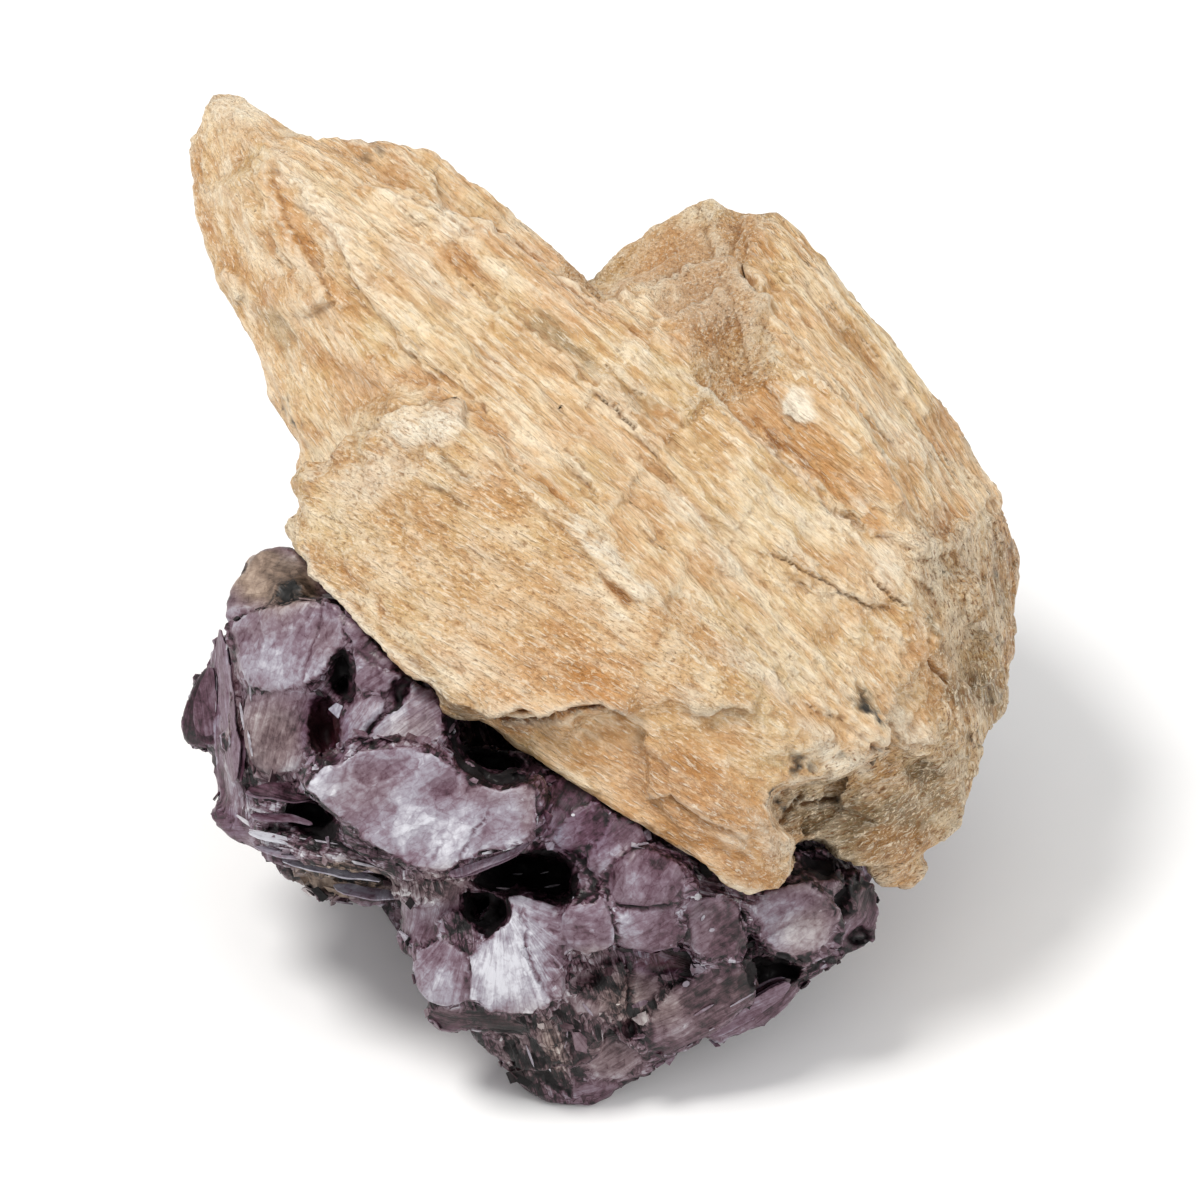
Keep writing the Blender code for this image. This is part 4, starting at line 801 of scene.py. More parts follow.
# Small bright flakes, partly pale mica and partly painted glints and highlights: length and width in pixels, turn in
# degrees, tone and the middle in pixels.
MICA_FLAKES_AND_PAINTED_GLINTS = {
    "dash_a": (14, 1.8, 2, 0.9, (518, 874)), "dash_b": (18, 1.4, 12, 0.8, (548, 872)),
    "dash_c": (26, 2.0, -6, 0.6, (508, 889)), "dash_d": (18, 2.0, 10, 0.6, (552, 886)),
    "fleck_a": (16, 4, 20, 0.6, (488, 772)), "fleck_b": (12, 3, -30, 0.5, (470, 764)),
    "fleck_c": (10, 3, 40, 0.5, (498, 748)), "fleck_d": (12, 4, 60, 0.5, (452, 728)),
    "star_a": (18, 14, 10, 1.6, (697, 893)), "star_b": (10, 6, 50, 1.5, (699, 897)),
    "star_c": (9, 6, 100, 1.1, (692, 894)), "dot_a": (4, 3, 0, 1.5, (573, 815)),
    "dot_b": (4, 3, 0, 1.5, (623, 813)), "glint_a": (7, 3, 60, 0.8, (703, 918)),
    "glint_b": (6, 4, 20, 0.7, (712, 930)), "glint_c": (8, 6, 30, 0.7, (686, 984)),
    "streak_a": (56, 2.4, -10, 0.9, (274, 834)), "streak_b": (50, 2.0, -9, 0.8, (318, 841)),
    "streak_c": (60, 2.6, -12, 0.8, (300, 852)), "streak_d": (50, 3.4, -12, 0.9, (352, 862)),
    "streak_e": (36, 3.0, -20, 0.7, (262, 812)), "streak_f": (26, 4.0, -36, 0.9, (246, 822)),
    "streak_g": (34, 2.0, -8, 0.6, (290, 822)), "streak_h": (44, 4.0, 12, 1.0, (500, 850)),
    "low_a": (26, 2.4, -70, 0.7, (530, 1056)), "low_b": (30, 2.0, -64, 0.8, (548, 1066)),
    "low_c": (22, 2.4, 80, 0.6, (566, 1040)), "low_d": (20, 3.0, -50, 0.6, (588, 1010)),
    "low_e": (18, 6.0, 20, 0.5, (640, 1004)), "low_f": (24, 3.0, 30, 0.6, (704, 1010)),
    "low_g": (34, 2.4, 28, 0.6, (722, 1024)), "low_h": (30, 2.0, 30, 0.7, (742, 1000)),
    "spine_a": (40, 3.0, 86, 1.0, (224, 660)), "spine_b": (44, 2.4, 97, 0.8, (233, 700)),
    "spine_c": (40, 3.0, 99, 0.9, (242, 716)), "spine_d": (40, 2.0, 88, 0.7, (216, 694)),
    "spine_e": (30, 3.0, 100, 0.9, (250, 744)), "spine_f": (34, 2.4, 94, 0.8, (230, 750)),
    "spine_g": (22, 2.4, 80, 0.9, (228, 640)), "spine_h": (30, 2.0, 95, 0.7, (250, 690)),
}
# Hollows between the faces, also darkened with painted shade by their depth: depth in mm, and the outline in pixels.
MICA_HOLLOWS = {
    "upper_hollow": (7.5, [
        (442, 712), (462, 714), (490, 733), (520, 760), (530, 780), (508, 787), (480, 783), (458, 768),
        (450, 746)]),
    "middle_hollow": (8.0, [
        (470, 884), (480, 866), (502, 854), (536, 850), (566, 857), (577, 876), (572, 898), (558, 904),
        (530, 896), (500, 893)]),
    "fan_hollow": (6.0, [
        (464, 896), (490, 892), (508, 902), (512, 914), (500, 926), (487, 938), (479, 926), (466, 918)]),
    "slot_hollow": (5.0, [(334, 656), (346, 648), (354, 668), (354, 690), (346, 703), (334, 694), (329, 676)]),
    "red_hollow": (2.2, [
        (310, 700), (326, 692), (336, 706), (338, 736), (348, 752), (334, 766), (320, 758), (308, 730)]),
    "lamella_hollow": (5.0, [
        (286, 800), (306, 800), (326, 806), (340, 826), (338, 838), (322, 840), (300, 830), (284, 816)]),
    "keel_hollow": (3.6, [(744, 960), (780, 956), (800, 966), (798, 980), (776, 990), (748, 986)]),
    "shade_hollow": (3.0, [(800, 850), (824, 846), (840, 860), (844, 880), (826, 880), (806, 872)]),
    "corner_hollow": (2.6, [(842, 936), (860, 926), (880, 932), (868, 946), (850, 950)]),
    "slit_hollow": (2.4, [(646, 966), (664, 962), (684, 966), (676, 972), (656, 972)]),
    "tip_hollow": (2.2, [(560, 1036), (574, 1040), (592, 1060), (576, 1062)]),
    "pit_hollow": (1.6, [(622, 1024), (638, 1012), (646, 1024), (638, 1038), (628, 1040)]),
    "left_slot": (2.0, [(224, 632), (232, 636), (238, 664), (236, 700), (228, 690), (224, 664)]),
    "neck_slot": (2.4, [(392, 684), (408, 672), (414, 684), (402, 704), (386, 714), (388, 700)]),
    "book_slot": (1.6, [(240, 776), (256, 778), (258, 790), (244, 792)]),
    "throat_slot": (2.0, [(594, 770), (616, 790), (636, 812), (626, 816), (604, 800)]),
    "edge_slot": (2.4, [(740, 930), (752, 944), (748, 960), (738, 950)]),
    "spine_slot": (2.0, [(216, 764), (226, 770), (230, 800), (222, 808), (218, 790)]),
}
# Creases where faces meet, also darkened with painted shade: half width in pixels, depth in mm and the line in pixels.
MICA_CREASES = {
    "throat_crease": (3.5, 0.41, [(536, 790), (541, 812), (538, 836), (536, 852)]),
    "inner_crease": (3.5, 0.45, [(404, 690), (396, 706), (382, 716), (368, 732), (352, 752), (334, 768)]),
    "under_crease": (3.5, 0.36, [(312, 772), (318, 760), (330, 762)]),
    "hex_crease": (2.8, 0.36, [(604, 880), (608, 904), (616, 930), (618, 952)]),
    "hex_low_crease": (2.8, 0.32, [(612, 906), (640, 910), (676, 908)]),
    "right_crease": (3.5, 0.36, [(744, 900), (748, 930), (756, 956)]),
    "fan_crease": (2.1, 0.27, [(522, 908), (527, 930), (527, 950), (536, 974), (550, 1000)]),
    "fan_split": (2.1, 0.27, [(448, 940), (462, 952), (468, 966), (470, 1002)]),
    "great_fold": (1.75, 0.14, [(430, 864), (438, 850), (446, 838)]),
    "wing_fold": (2.1, 0.23, [(456, 868), (466, 850), (478, 826), (494, 806)]),
    "shoulder_fold": (2.1, 0.18, [(322, 602), (318, 626), (306, 660), (300, 684)]),
    "strip_crease": (2.8, 0.27, [(346, 634), (352, 650), (354, 680)]),
}
# Books of mica, whose sheets show as stripes: contrast of the stripes, their run in pixels, and where they are.
MICA_BOOKS = {
    "spine": (1.3, (8, 60), [(226, 660, 0), (236, 700, 2), (240, 740, 2), (225, 790, 0), (205, 710, -3)]),
    "left_books": (0.9, (22, 60), [(262, 730, 6), (290, 750, 6), (270, 700, 7)]),
    "shoulder": (0.4, (50, 30), [(270, 650, 8), (270, 580, 3)]),
    "lamellae": (1.3, (60, 17), [(270, 810, 4), (320, 835, 5), (370, 860, 8)]),
    "tan": (0.4, (60, 8), [(340, 880, 1), (290, 870, -1)]),
    "inner": (0.7, (40, -40), [(350, 720, 12), (400, 700, 13), (330, 760, 8), (360, 660, 12)]),
    "under_great": (1.0, (10, 60), [(410, 890, 8), (450, 880, 10), (430, 920, 8)]),
    "throat": (0.6, (40, -50), [(560, 800, 13), (600, 840, 13), (550, 760, 12), (520, 800, 16)]),
    "hex_bed": (0.4, (60, 10), [(640, 900, 13), (590, 880, 12)]),
    "sparkle": (1.1, (50, 14), [(710, 920, 9), (720, 950, 8), (760, 900, 5)]),
    "crumbs": (1.0, (20, 60), [(610, 990, 6), (580, 970, 6), (640, 1000, 4)]),
    "streaks": (1.3, (60, -28), [(690, 1020, 4), (740, 1000, 2), (780, 980, 0)]),
    "bottom": (1.1, (16, 50), [(540, 1050, 2), (520, 1080, 0), (560, 1080, 0), (470, 1020, 3)]),
    "tip": (0.6, (50, -14), [(612, 1060, 1), (600, 1090, -1)]),
    "right": (0.6, (60, 30), [(800, 920, 4), (840, 900, 2), (860, 920, -2)]),
    "far_left": (1.0, (20, 60), [(300, 650, -18), (260, 760, -16)]),
    "far_low": (1.0, (60, 14), [(500, 1000, -16), (420, 800, -30), (700, 950, -22)]),
    "far_right": (1.0, (40, 50), [(820, 880, -20), (760, 800, -36)]),
}
# Where the mica is lighter or darker, and warmer, with painted shadow under the feldspar tail, painted shade at the
# bottom, and painted highlights on the great plate's lower edge and along the lamellae: both changes, radius along
# and across, turn and centre.
MICA_TINTS = {
    "great_low": (0.14, 0, 60, 40, -20, (436, 836)), "great_lilac": (-0.1, 0.1, 50, 34, 10, (360, 790)),
    "great_stain": (-0.14, 0.1, 50, 20, 0, (490, 790)), "great_edge": (-0.16, 0.2, 12, 40, 0, (528, 806)),
    "great_spot": (-0.08, 0, 20, 10, 0, (440, 812)), "great_rim_painted_highlight": (0.16, 0, 60, 10, 14, (500, 850)),
    "shoulder_light": (0.14, 0, 26, 40, -30, (284, 664)), "shoulder_dark": (-0.12, 0.1, 50, 16, 8, (270, 626)),
    "shoulder_right": (-0.06, 0.1, 24, 30, 0, (326, 640)), "brown_wash": (0.0, 0.9, 70, 40, 0, (274, 580)),
    "brown_shade": (-0.12, 0.5, 34, 14, -10, (296, 588)), "brown_light": (0.12, 0.6, 40, 16, 20, (252, 560)),
    "wine_left": (-0.08, -0.2, 40, 60, 0, (200, 706)), "wine_low": (-0.06, -0.2, 40, 20, 0, (224, 824)),
    "red_bed": (-0.1, -0.6, 30, 40, 0, (324, 730)), "left_book_tone": (0.02, 0.35, 50, 60, 0, (268, 740)),
    "tan_wash": (0.1, 1.0, 70, 24, -6, (340, 880)), "under_lip": (0.06, 0.3, 60, 26, 10, (436, 886)),
    "inner_light": (0.1, 0.2, 30, 20, 0, (410, 730)), "neck": (-0.02, 0.5, 60, 16, -40, (500, 728)),
    "fan_bright": (0.2, 0, 40, 40, 0, (510, 976)), "fan_lilac": (-0.04, 0, 24, 50, 0, (556, 960)),
    "shelf_dark": (-0.1, 0.2, 70, 14, -10, (470, 1020)), "throat_dark": (-0.1, 0, 40, 40, 0, (552, 780)),
    "throat_wine": (-0.08, -0.2, 50, 60, 0, (580, 820)), "hex_rim": (0.2, 0.2, 30, 8, 0, (588, 952)),
    "hex_tint": (0.0, 0.0, 70, 50, 0, (640, 880)), "sparkle_dark": (-0.12, 0.1, 40, 40, 0, (720, 930)),
    "red_spot": (-0.06, -0.6, 40, 14, 0, (660, 962)), "right_light": (0.14, 0.3, 40, 30, 0, (806, 934)),
    "right_top": (-0.12, 0.2, 50, 26, 0, (800, 876)), "right_dark": (-0.2, 0.2, 60, 30, 20, (850, 900)),
    "keel_dark": (-0.2, 0.2, 60, 30, 20, (770, 976)), "crumb_warm": (0.0, 0.25, 60, 60, 0, (600, 1000)),
    "bottom_painted_shade": (-0.12, 0.3, 60, 60, 0, (530, 1050)), "bottom_light": (0.3, 0.3, 18, 50, 20, (556, 1050)),
    "streak_tint": (0.0, 0.2, 80, 40, 30, (700, 1010)), "tip_tint": (0.04, 0.3, 50, 30, 0, (612, 1060)),
    "lamella_painted_highlight": (0.3, 0.1, 90, 12, -11, (310, 850)), "lamella_high_painted_highlight": (0.16, 0.1, 50, 8, -20, (262, 816)),
    "spine_tone": (0.05, 0.2, 14, 90, 0, (230, 710)), "crumb_light": (0.1, 0.3, 60, 40, 0, (640, 1000)),
    "sparkle_light": (0.12, 0, 40, 30, 0, (712, 940)), "under_tail_painted_shadow": (-0.14, 0.6, 70, 24, -40, (640, 800)),
}


class Heap:
    """Closed meshes gathered into one, with a tone and a warmth at each corner."""

    def __init__(self):
        self.places, self.faces, self.tones, self.warmths, self.count = [], [], [], [], 0

    def add(self, places, faces, tone, warmth=0.1):
        self.faces += [tuple(self.count + i for i in face) for face in faces]
        self.places.append(places)
        self.tones.append(np.full(len(places), tone))
        self.warmths.append(np.full(len(places), warmth))
        self.count += len(places)

    def mesh(self, name):
        mesh = mesh_from(name, np.concatenate(self.places), self.faces, smooth=False)
        store_number(mesh, "tone", np.concatenate(self.tones))
        store_number(mesh, "warm", np.concatenate(self.warmths))
        store_number(mesh, "crumple", np.full(self.count, 0.2))
        store_number(mesh, "stripes", np.full(self.count, 0.3))
        store_grain(mesh)
        return mesh


def smooth_outline(outline, count):
    """An outline's points as evenly spaced points of a closed curve that rounds its corners a little."""
    points = np.array(outline, float)
    for _ in range(2):
        following = np.roll(points, -1, axis=0)
        points = np.stack((0.78 * points + 0.22 * following, 0.22 * points + 0.78 * following), axis=1)
        points = points.reshape(-1, 2)
    closed = np.concatenate((points, points[:1]))
    lengths = np.concatenate(([0], np.cumsum(np.linalg.norm(np.diff(closed, axis=0), axis=1))))
    wanted = np.linspace(0, lengths[-1], count, endpoint=False)
    return np.stack([np.interp(wanted, lengths, closed[:, i]) for i in range(2)], axis=1)


def disc_faces(first, rings, count, facing_up):
    """Faces of a disc whose corners are its middle and then its rings."""
    faces = [(first, first + 1 + i, first + 1 + (i + 1) % count) for i in range(count)]
    for ring in range(rings - 1):
        inner, outer = first + 1 + ring * count, first + 1 + (ring + 1) * count
        faces += [(inner + i, outer + i, outer + (i + 1) % count, inner + (i + 1) % count) for i in range(count)]
    return faces if facing_up else [face[::-1] for face in faces]


def disc_places(rim, rings):
    middle = rim.mean(axis=0)
    reaches = [(r / rings) ** 0.75 for r in range(1, rings + 1)]
    return np.concatenate([middle[None]] + [middle + (rim - middle) * reach for reach in reaches])


def sheet_mesh(rim, height_of, thickness, rings, flare=0.985):
    """A closed sheet over its own plane. rim is its edge there, and height_of gives its surface."""
    count = len(rim)
    top = disc_places(rim, rings)
    bottom = disc_places(rim, 4)
    sunk = np.full(len(bottom), thickness + 0.12 * MM)
    sunk[-count:] = thickness
    middle = rim.mean(axis=0)
    under = middle + (bottom - middle) * flare
    places = np.concatenate((np.column_stack((top, height_of(top))),
                             np.column_stack((under, height_of(bottom) - sunk))))
    faces = disc_faces(0, rings, count, True) + disc_faces(len(top), 4, count, False)
    outer, lower = len(top) - count, len(places) - count
    faces += [(outer + i, lower + i, lower + (i + 1) % count, outer + (i + 1) % count) for i in range(count)]
    return places, faces


class Plane:
    """The leaning plane of a mica face: its middle, its axes and its outline's edge on it."""

    def __init__(self, depth, lean_right, lean_up, outline, grain):
        slope_right, slope_up = math.tan(math.radians(lean_right)), math.tan(math.radians(lean_up))
        length = sum(math.dist(a, b) for a, b in zip(outline, outline[1:] + outline[:1])) * PIXEL
        rim_px = smooth_outline(outline, int(min(max(length / grain, 36), 150)))
        middle = rim_px.mean(axis=0)
        right = (rim_px[:, 0] - middle[0]) * PIXEL
        up = (middle[1] - rim_px[:, 1]) * PIXEL
        self.normal = OUT + ACROSS * slope_right + UP * slope_up
        self.normal /= np.linalg.norm(self.normal)
        self.axis_x = ACROSS - self.normal * (ACROSS @ self.normal)
        self.axis_x /= np.linalg.norm(self.axis_x)
        self.axis_y = np.cross(self.normal, self.axis_x)
        drop = slope_right * right + slope_up * up
        world = right[:, None] * ACROSS + up[:, None] * UP - drop[:, None] * OUT
        self.rim = np.stack((world @ self.axis_x, world @ self.axis_y), axis=1)
        self.middle = spot(middle[0], middle[1], depth)
        self.size = np.sqrt(np.mean(np.sum(self.rim * self.rim, axis=1)))

    def placed(self, local):
        return self.middle + local[:, :1] * self.axis_x + local[:, 1:2] * self.axis_y + local[:, 2:] * self.normal

    def local(self, places):
        away = places - self.middle
        return np.stack((away @ self.axis_x, away @ self.axis_y, away @ self.normal), axis=1)


def add_face_block(heap, face):
    """A thick block whose top is a bulging face of mica."""
    depth, lean_right, lean_up, bulge, _, _, _, outline = face
    plane = Plane(depth, lean_right, lean_up, outline, 0.8 * MM)

    def height_of(flat):
        reach = np.minimum(np.sum(flat * flat, axis=1) / (plane.size * plane.size), 1.4)
        return bulge * (0.5 - reach) * MM

    local, faces = sheet_mesh(plane.rim, height_of, 3.0 * MM, 8, 1.12)
    heap.add(plane.placed(local), faces, 0)


def add_sheets(heap, book, seed):
    """A stack of thin ragged sheets, set apart a little so that their edges show."""
    depth, lean_right, lean_up, sheets, tone, outline = book
    plane = Plane(depth, lean_right, lean_up, outline, 0.45 * MM)
    draw = random.Random(seed)
    for sheet in range(sheets):
        drift = np.array((draw.gauss(0, 0.05), draw.gauss(0, 0.05))) * plane.size
        ragged = plane.rim * draw.uniform(0.82, 1.04) + drift
        field = np.column_stack((ragged / (1.4 * MM), np.full(len(ragged), seed * 7.0 + sheet * 3.1)))
        notch = np.minimum(smooth_noise(field, 31), 0.25) + 0.5 * smooth_noise(field * 2.7, 32)
        ragged = ragged * (1 + 0.12 * notch)[:, None]
        tilt = np.array((draw.gauss(0, 0.05), draw.gauss(0, 0.05)))
        drop = sheet * draw.uniform(0.28, 0.5) * MM

        def height_of(flat, sheet=sheet, tilt=tilt, drop=drop):
            broad = np.column_stack((flat / (2.5 * MM), np.full(len(flat), seed * 5.0 + 0.2 * sheet)))
            return 0.3 * MM * smooth_noise(broad, 34) + flat @ tilt - drop

        local, faces = sheet_mesh(ragged, height_of, 0.12 * MM, 5)
        heap.add(plane.placed(local), faces, tone + draw.gauss(0, 0.14))


FLAKE_SIZES = ((300, 0.8, 1.5), (800, 0.5, 1.0), (1500, 0.22, 0.5))
FLAKE_DOMAIN = 4.5 * MM


def hollow_depth(pixels):
    """How deep in mm the hollows are cut, and how much painted shade darkens them, from 0 to 1."""
    cut = np.zeros(len(pixels))
    dark = np.zeros(len(pixels))
    for depth, outline in MICA_HOLLOWS.values():
        inside = inside_distance(pixels, outline)
        cut = np.maximum(cut, depth * smooth_step(-1, 10, inside))
        dark = np.maximum(dark, smooth_step(-2, 4, inside) * min(depth / 4, 1))
    return cut, dark


def tints(pixels):
    """How much lighter and how much warmer the mica is at each pixel."""
    lighter, warmer = np.zeros(len(pixels)), np.zeros(len(pixels))
    for light, warm, *ellipse in MICA_TINTS.values():
        mask = ellipse_mask(pixels, *ellipse)
        lighter += light * mask
        warmer += warm * mask
    return lighter, warmer


def nearest_book(places):
    """The number of the nearest book of mica to each place."""
    return np.argmin([np.min([np.linalg.norm(places - spot(*a), axis=1) for a in anchors], axis=0)
                      for _, _, anchors in MICA_BOOKS.values()], axis=0)


def face_cover(places, normals, pixels):
    """For each face: the places near it, how much each is on it, its depth inside the outline, its place
    along and across the wrinkles in mm, and its place on the face's plane."""
    for number, (depth, lean_right, lean_up, _, _, _, run, outline) in enumerate(MICA_FACES.values()):
        plane = Plane(depth, lean_right, lean_up, outline, 1.0 * MM)
        near = np.flatnonzero(np.linalg.norm(places - plane.middle, axis=1) < plane.size * 1.9)
        local = plane.local(places[near])
        inside = inside_distance(pixels[near], outline)
        on_face = smooth_step(1.4, 0.7, np.abs(local[:, 2]) / MM) * smooth_step(-1.5, 2.5, inside)
        on_face *= smooth_step(0.3, 0.7, normals[near] @ plane.normal)
        if isinstance(run, tuple):
            from_hinge = (pixels[near] - np.array(run, float)) * PIXEL / MM
            along = np.linalg.norm(from_hinge, axis=1)
            across = 7 * np.arctan2(from_hinge[:, 1], from_hinge[:, 0])
        else:
            turn = math.radians(run)
            flat = local[:, :2] / MM
            along = flat[:, 0] * math.cos(turn) + flat[:, 1] * math.sin(turn)
            across = flat[:, 1] * math.cos(turn) - flat[:, 0] * math.sin(turn)
        yield near, on_face, inside, np.column_stack((along, across, np.full(len(near), number * 3.3))), local


def joined_mica(voxel_size):
    """The mass with the blocks of its showing faces, as one fine closed surface."""
    heap = Heap()
    for face in MICA_FACES.values():
        add_face_block(heap, face)
    core = frame["nodes"]["lepidolite_mica"].data
    corners = np.concatenate([corner_places(core)] + heap.places)
    faces = [tuple(p.vertices) for p in core.polygons]
    faces += [tuple(len(core.vertices) + i for i in face) for face in heap.faces]
    return voxel_mesh(mesh_from("joined", corners, faces, smooth=False), voxel_size)


def filled_grooves(places, normals, edges):
    """Places lifted where they lie in grooves, with the ridges left as they are."""
    for _ in range(4):
        lift = np.sum((relaxed(places, edges, 10) - places) * normals, axis=1)
        places = places + normals * np.maximum(lift, 0)[:, None]
    return places


def shape_mica(voxel_size, most_triangles):
    mesh = joined_mica(0.4 * MM)
    places = corner_places(mesh)
    edges = edge_ends(mesh)
    normals = relaxed(corner_normals(mesh), edges, 3)
    normals /= np.linalg.norm(normals, axis=1)[:, None]
    pixels, depth = seen_at(places)
    places = filled_grooves(places, normals, edges)
    wander = np.stack([smooth_noise(places / (2 * MM), 55 + i) for i in range(2)], axis=1) * 4
    seen = smooth_step(-0.1, 0.2, normals @ OUT) * smooth_step(-10, -4, depth)
    cut, _ = hollow_depth(pixels + wander)
    set_places(mesh, places - OUT * (cut * seen * MM)[:, None])
    mesh = voxel_mesh(mesh, voxel_size)

    places = corner_places(mesh)
    edges = edge_ends(mesh)
    normals = relaxed(corner_normals(mesh), edges, 2)
    normals /= np.linalg.norm(normals, axis=1)[:, None]
    pixels, depth = seen_at(places)
    wander = np.stack([chip_noise(places / (1.6 * MM), 55 + i, lean=0) for i in range(2)], axis=1) * 3
    drift = np.stack([smooth_noise(places / (1.4 * MM), 65 + i) for i in range(2)], axis=1) * 3
    seen = smooth_step(-0.1, 0.2, normals @ OUT) * smooth_step(-12, -6, depth)
    _, dark = hollow_depth(pixels + wander)
    dark *= seen
    lighter, warmer = tints(pixels + wander)

    turned = places @ turn_matrix(0.6, 0.9)
    relief = 0.34 * chip_noise(places / (2.8 * MM), 51) + 0.26 * chip_noise(places / (1.2 * MM), 52)
    relief += 0.26 * chip_noise(turned / (np.array((2.4, 2.4, 0.5)) * MM), 53)
    # Flat per-chip tones standing for light caught by chips at different angles: partly painted sheen, partly the
    # mica's own mottling.
    facet_tone_and_sheen = 0.6 * chip_noise(places / (1.5 * MM), 57, lean=0) + 0.4 * chip_noise(turned / (0.8 * MM), 58, lean=0)
    tone = 0.27 + 0.3 * facet_tone_and_sheen + 0.12 * relief + 0.14 * smooth_noise(places / (3 * MM), 56)
    tone += 0.16 * chip_noise(places / (7 * MM), 59)
    contrasts = np.array([contrast for contrast, _, _ in MICA_BOOKS.values()])
    stripes = 0.75 * relaxed(contrasts[nearest_book(places)][:, None], edges, 4)[:, 0]
    crumple = np.full(len(places), 1.0)
    covers = np.full(len(places), 0.02)
    cover = face_cover(places, normals, pixels + wander * 1.2)
    for (near, on_face, inside, grain, local), face in zip(cover, MICA_FACES.values()):
        face_tone, wrinkle = face[4:6]
        ripple = grain / (4.5, 0.9, 1)
        waves = 0.5 - np.abs(smooth_noise(ripple, 61)) + 0.5 * (0.5 - np.abs(smooth_noise(ripple * 2.1, 62)))
        broad = smooth_noise(local / (3.6 * MM), 63)
        torn = terraces(2.4 * smooth_noise(grain / (5, 3, 1), 64), 0.12)
        face_relief = 0.11 * wrinkle * waves + 0.18 * broad + 0.12 * torn - 0.12 * smooth_step(3, 0, inside)
        # The face's tone, partly painted sheen for a plate that faces the light.
        value = face_tone - 0.03 + 0.06 * waves * wrinkle + 0.1 * broad + 0.07 * torn
        take = on_face > covers[near]
        chosen, weight = near[take], on_face[take]
        relief[chosen] = relief[chosen] * (1 - weight) + face_relief[take] * weight
        tone[chosen] = tone[chosen] * (1 - weight) + value[take] * weight
        crumple[chosen] = crumple[chosen] * (1 - 0.75 * weight)
        stripes[chosen] = stripes[chosen] * (1 - weight) + 0.3 * wrinkle * weight
        covers[chosen] = weight
    crease = line_cuts(pixels + drift, MICA_CREASES) * seen
    resting = smooth_step(1.5 * MM, 0.3 * MM, places[:, 2])
    relief = (relief - crease - 0.15) * (1 - resting)
    edge = relief - relaxed(relief[:, None], edges, 4)[:, 0]
    # Darker in the creases and where the surface lies below its neighbours, lighter where it stands above them: painted
    # shade and painted highlight.
    tone = (tone + lighter * seen) * (1 - 0.6 * np.minimum(crease, 1)) + np.clip(edge * 1.2, -0.2, 0.2)
    set_places(mesh, places + normals * (relief * MM)[:, None])
    # The tone is darkened in the hollows: painted shade.
    store_number(mesh, "tone", tone * (1 - dark))
    store_number(mesh, "warm", 0.15 + warmer * seen)
    store_number(mesh, "crumple", crumple * (1 - dark))
    store_number(mesh, "stripes", stripes * (1 - dark))
    mesh = thinned(mesh, most_triangles)
    store_grain(mesh, with_faces=True)
    return mesh


def store_grain(mesh, with_faces=False):
    """Stores at each polygon's corners its place along and across its sheets' stripes, in mm."""
    places = corner_places(mesh)
    grain = np.zeros((len(places), 3))
    book = nearest_book(places)
    for number, (_, (right, down), _) in enumerate(MICA_BOOKS.values()):
        along = (ACROSS * right - UP * down) / math.hypot(right, down)
        chosen = book == number
        axes = np.stack((along, np.cross(OUT, along), OUT))
        grain[chosen] = places[chosen] @ axes.T / MM + 20 * number
    owner = book.copy()
    if with_faces:
        covers = np.full(len(places), 0.5)
        cover = face_cover(places, corner_normals(mesh), seen_at(places)[0])
        for number, (near, on_face, _, face_grain, _) in enumerate(cover):
            take = on_face > covers[near]
            chosen = near[take]
            grain[chosen] = face_grain[take]
            owner[chosen] = 100 + number
            covers[chosen] = on_face[take]
    corners = np.empty(len(mesh.loops), dtype=np.int64)
    mesh.loops.foreach_get("vertex_index", corners)
    sides = np.empty(len(mesh.polygons), dtype=np.int64)
    mesh.polygons.foreach_get("loop_total", sides)
    starts = np.concatenate(([0], np.cumsum(sides)[:-1]))
    first = np.repeat(corners[starts], sides)
    same = owner[corners] == owner[first]
    layer = mesh.attributes.new("grain", "FLOAT_VECTOR", "CORNER")
    layer.data.foreach_set("vector", grain[np.where(same, corners, first)].astype(np.float32).ravel())


def turn_matrix(about_x, about_z):
    cx, sx, cz, sz = math.cos(about_x), math.sin(about_x), math.cos(about_z), math.sin(about_z)
    return np.array(((cz, -sz, 0), (sz, cz, 0), (0, 0, 1))) @ np.array(((1, 0, 0), (0, cx, -sx), (0, sx, cx)))


def add_flake(heap, place, side, other, flat, thickness, tone, warmth):
    """A thin closed flake. flat is its outline along side and other."""
    count = len(flat)
    rim = place + flat[:, :1] * side + flat[:, 1:] * other
    points = np.concatenate((rim, place + (rim - place) * 0.97 - np.cross(side, other) * thickness))
    faces = [tuple(range(count)), tuple(range(2 * count - 1, count - 1, -1))]
    faces += [(i, i + count, (i + 1) % count + count, (i + 1) % count) for i in range(count)]
    heap.add(points, faces, tone, warmth)


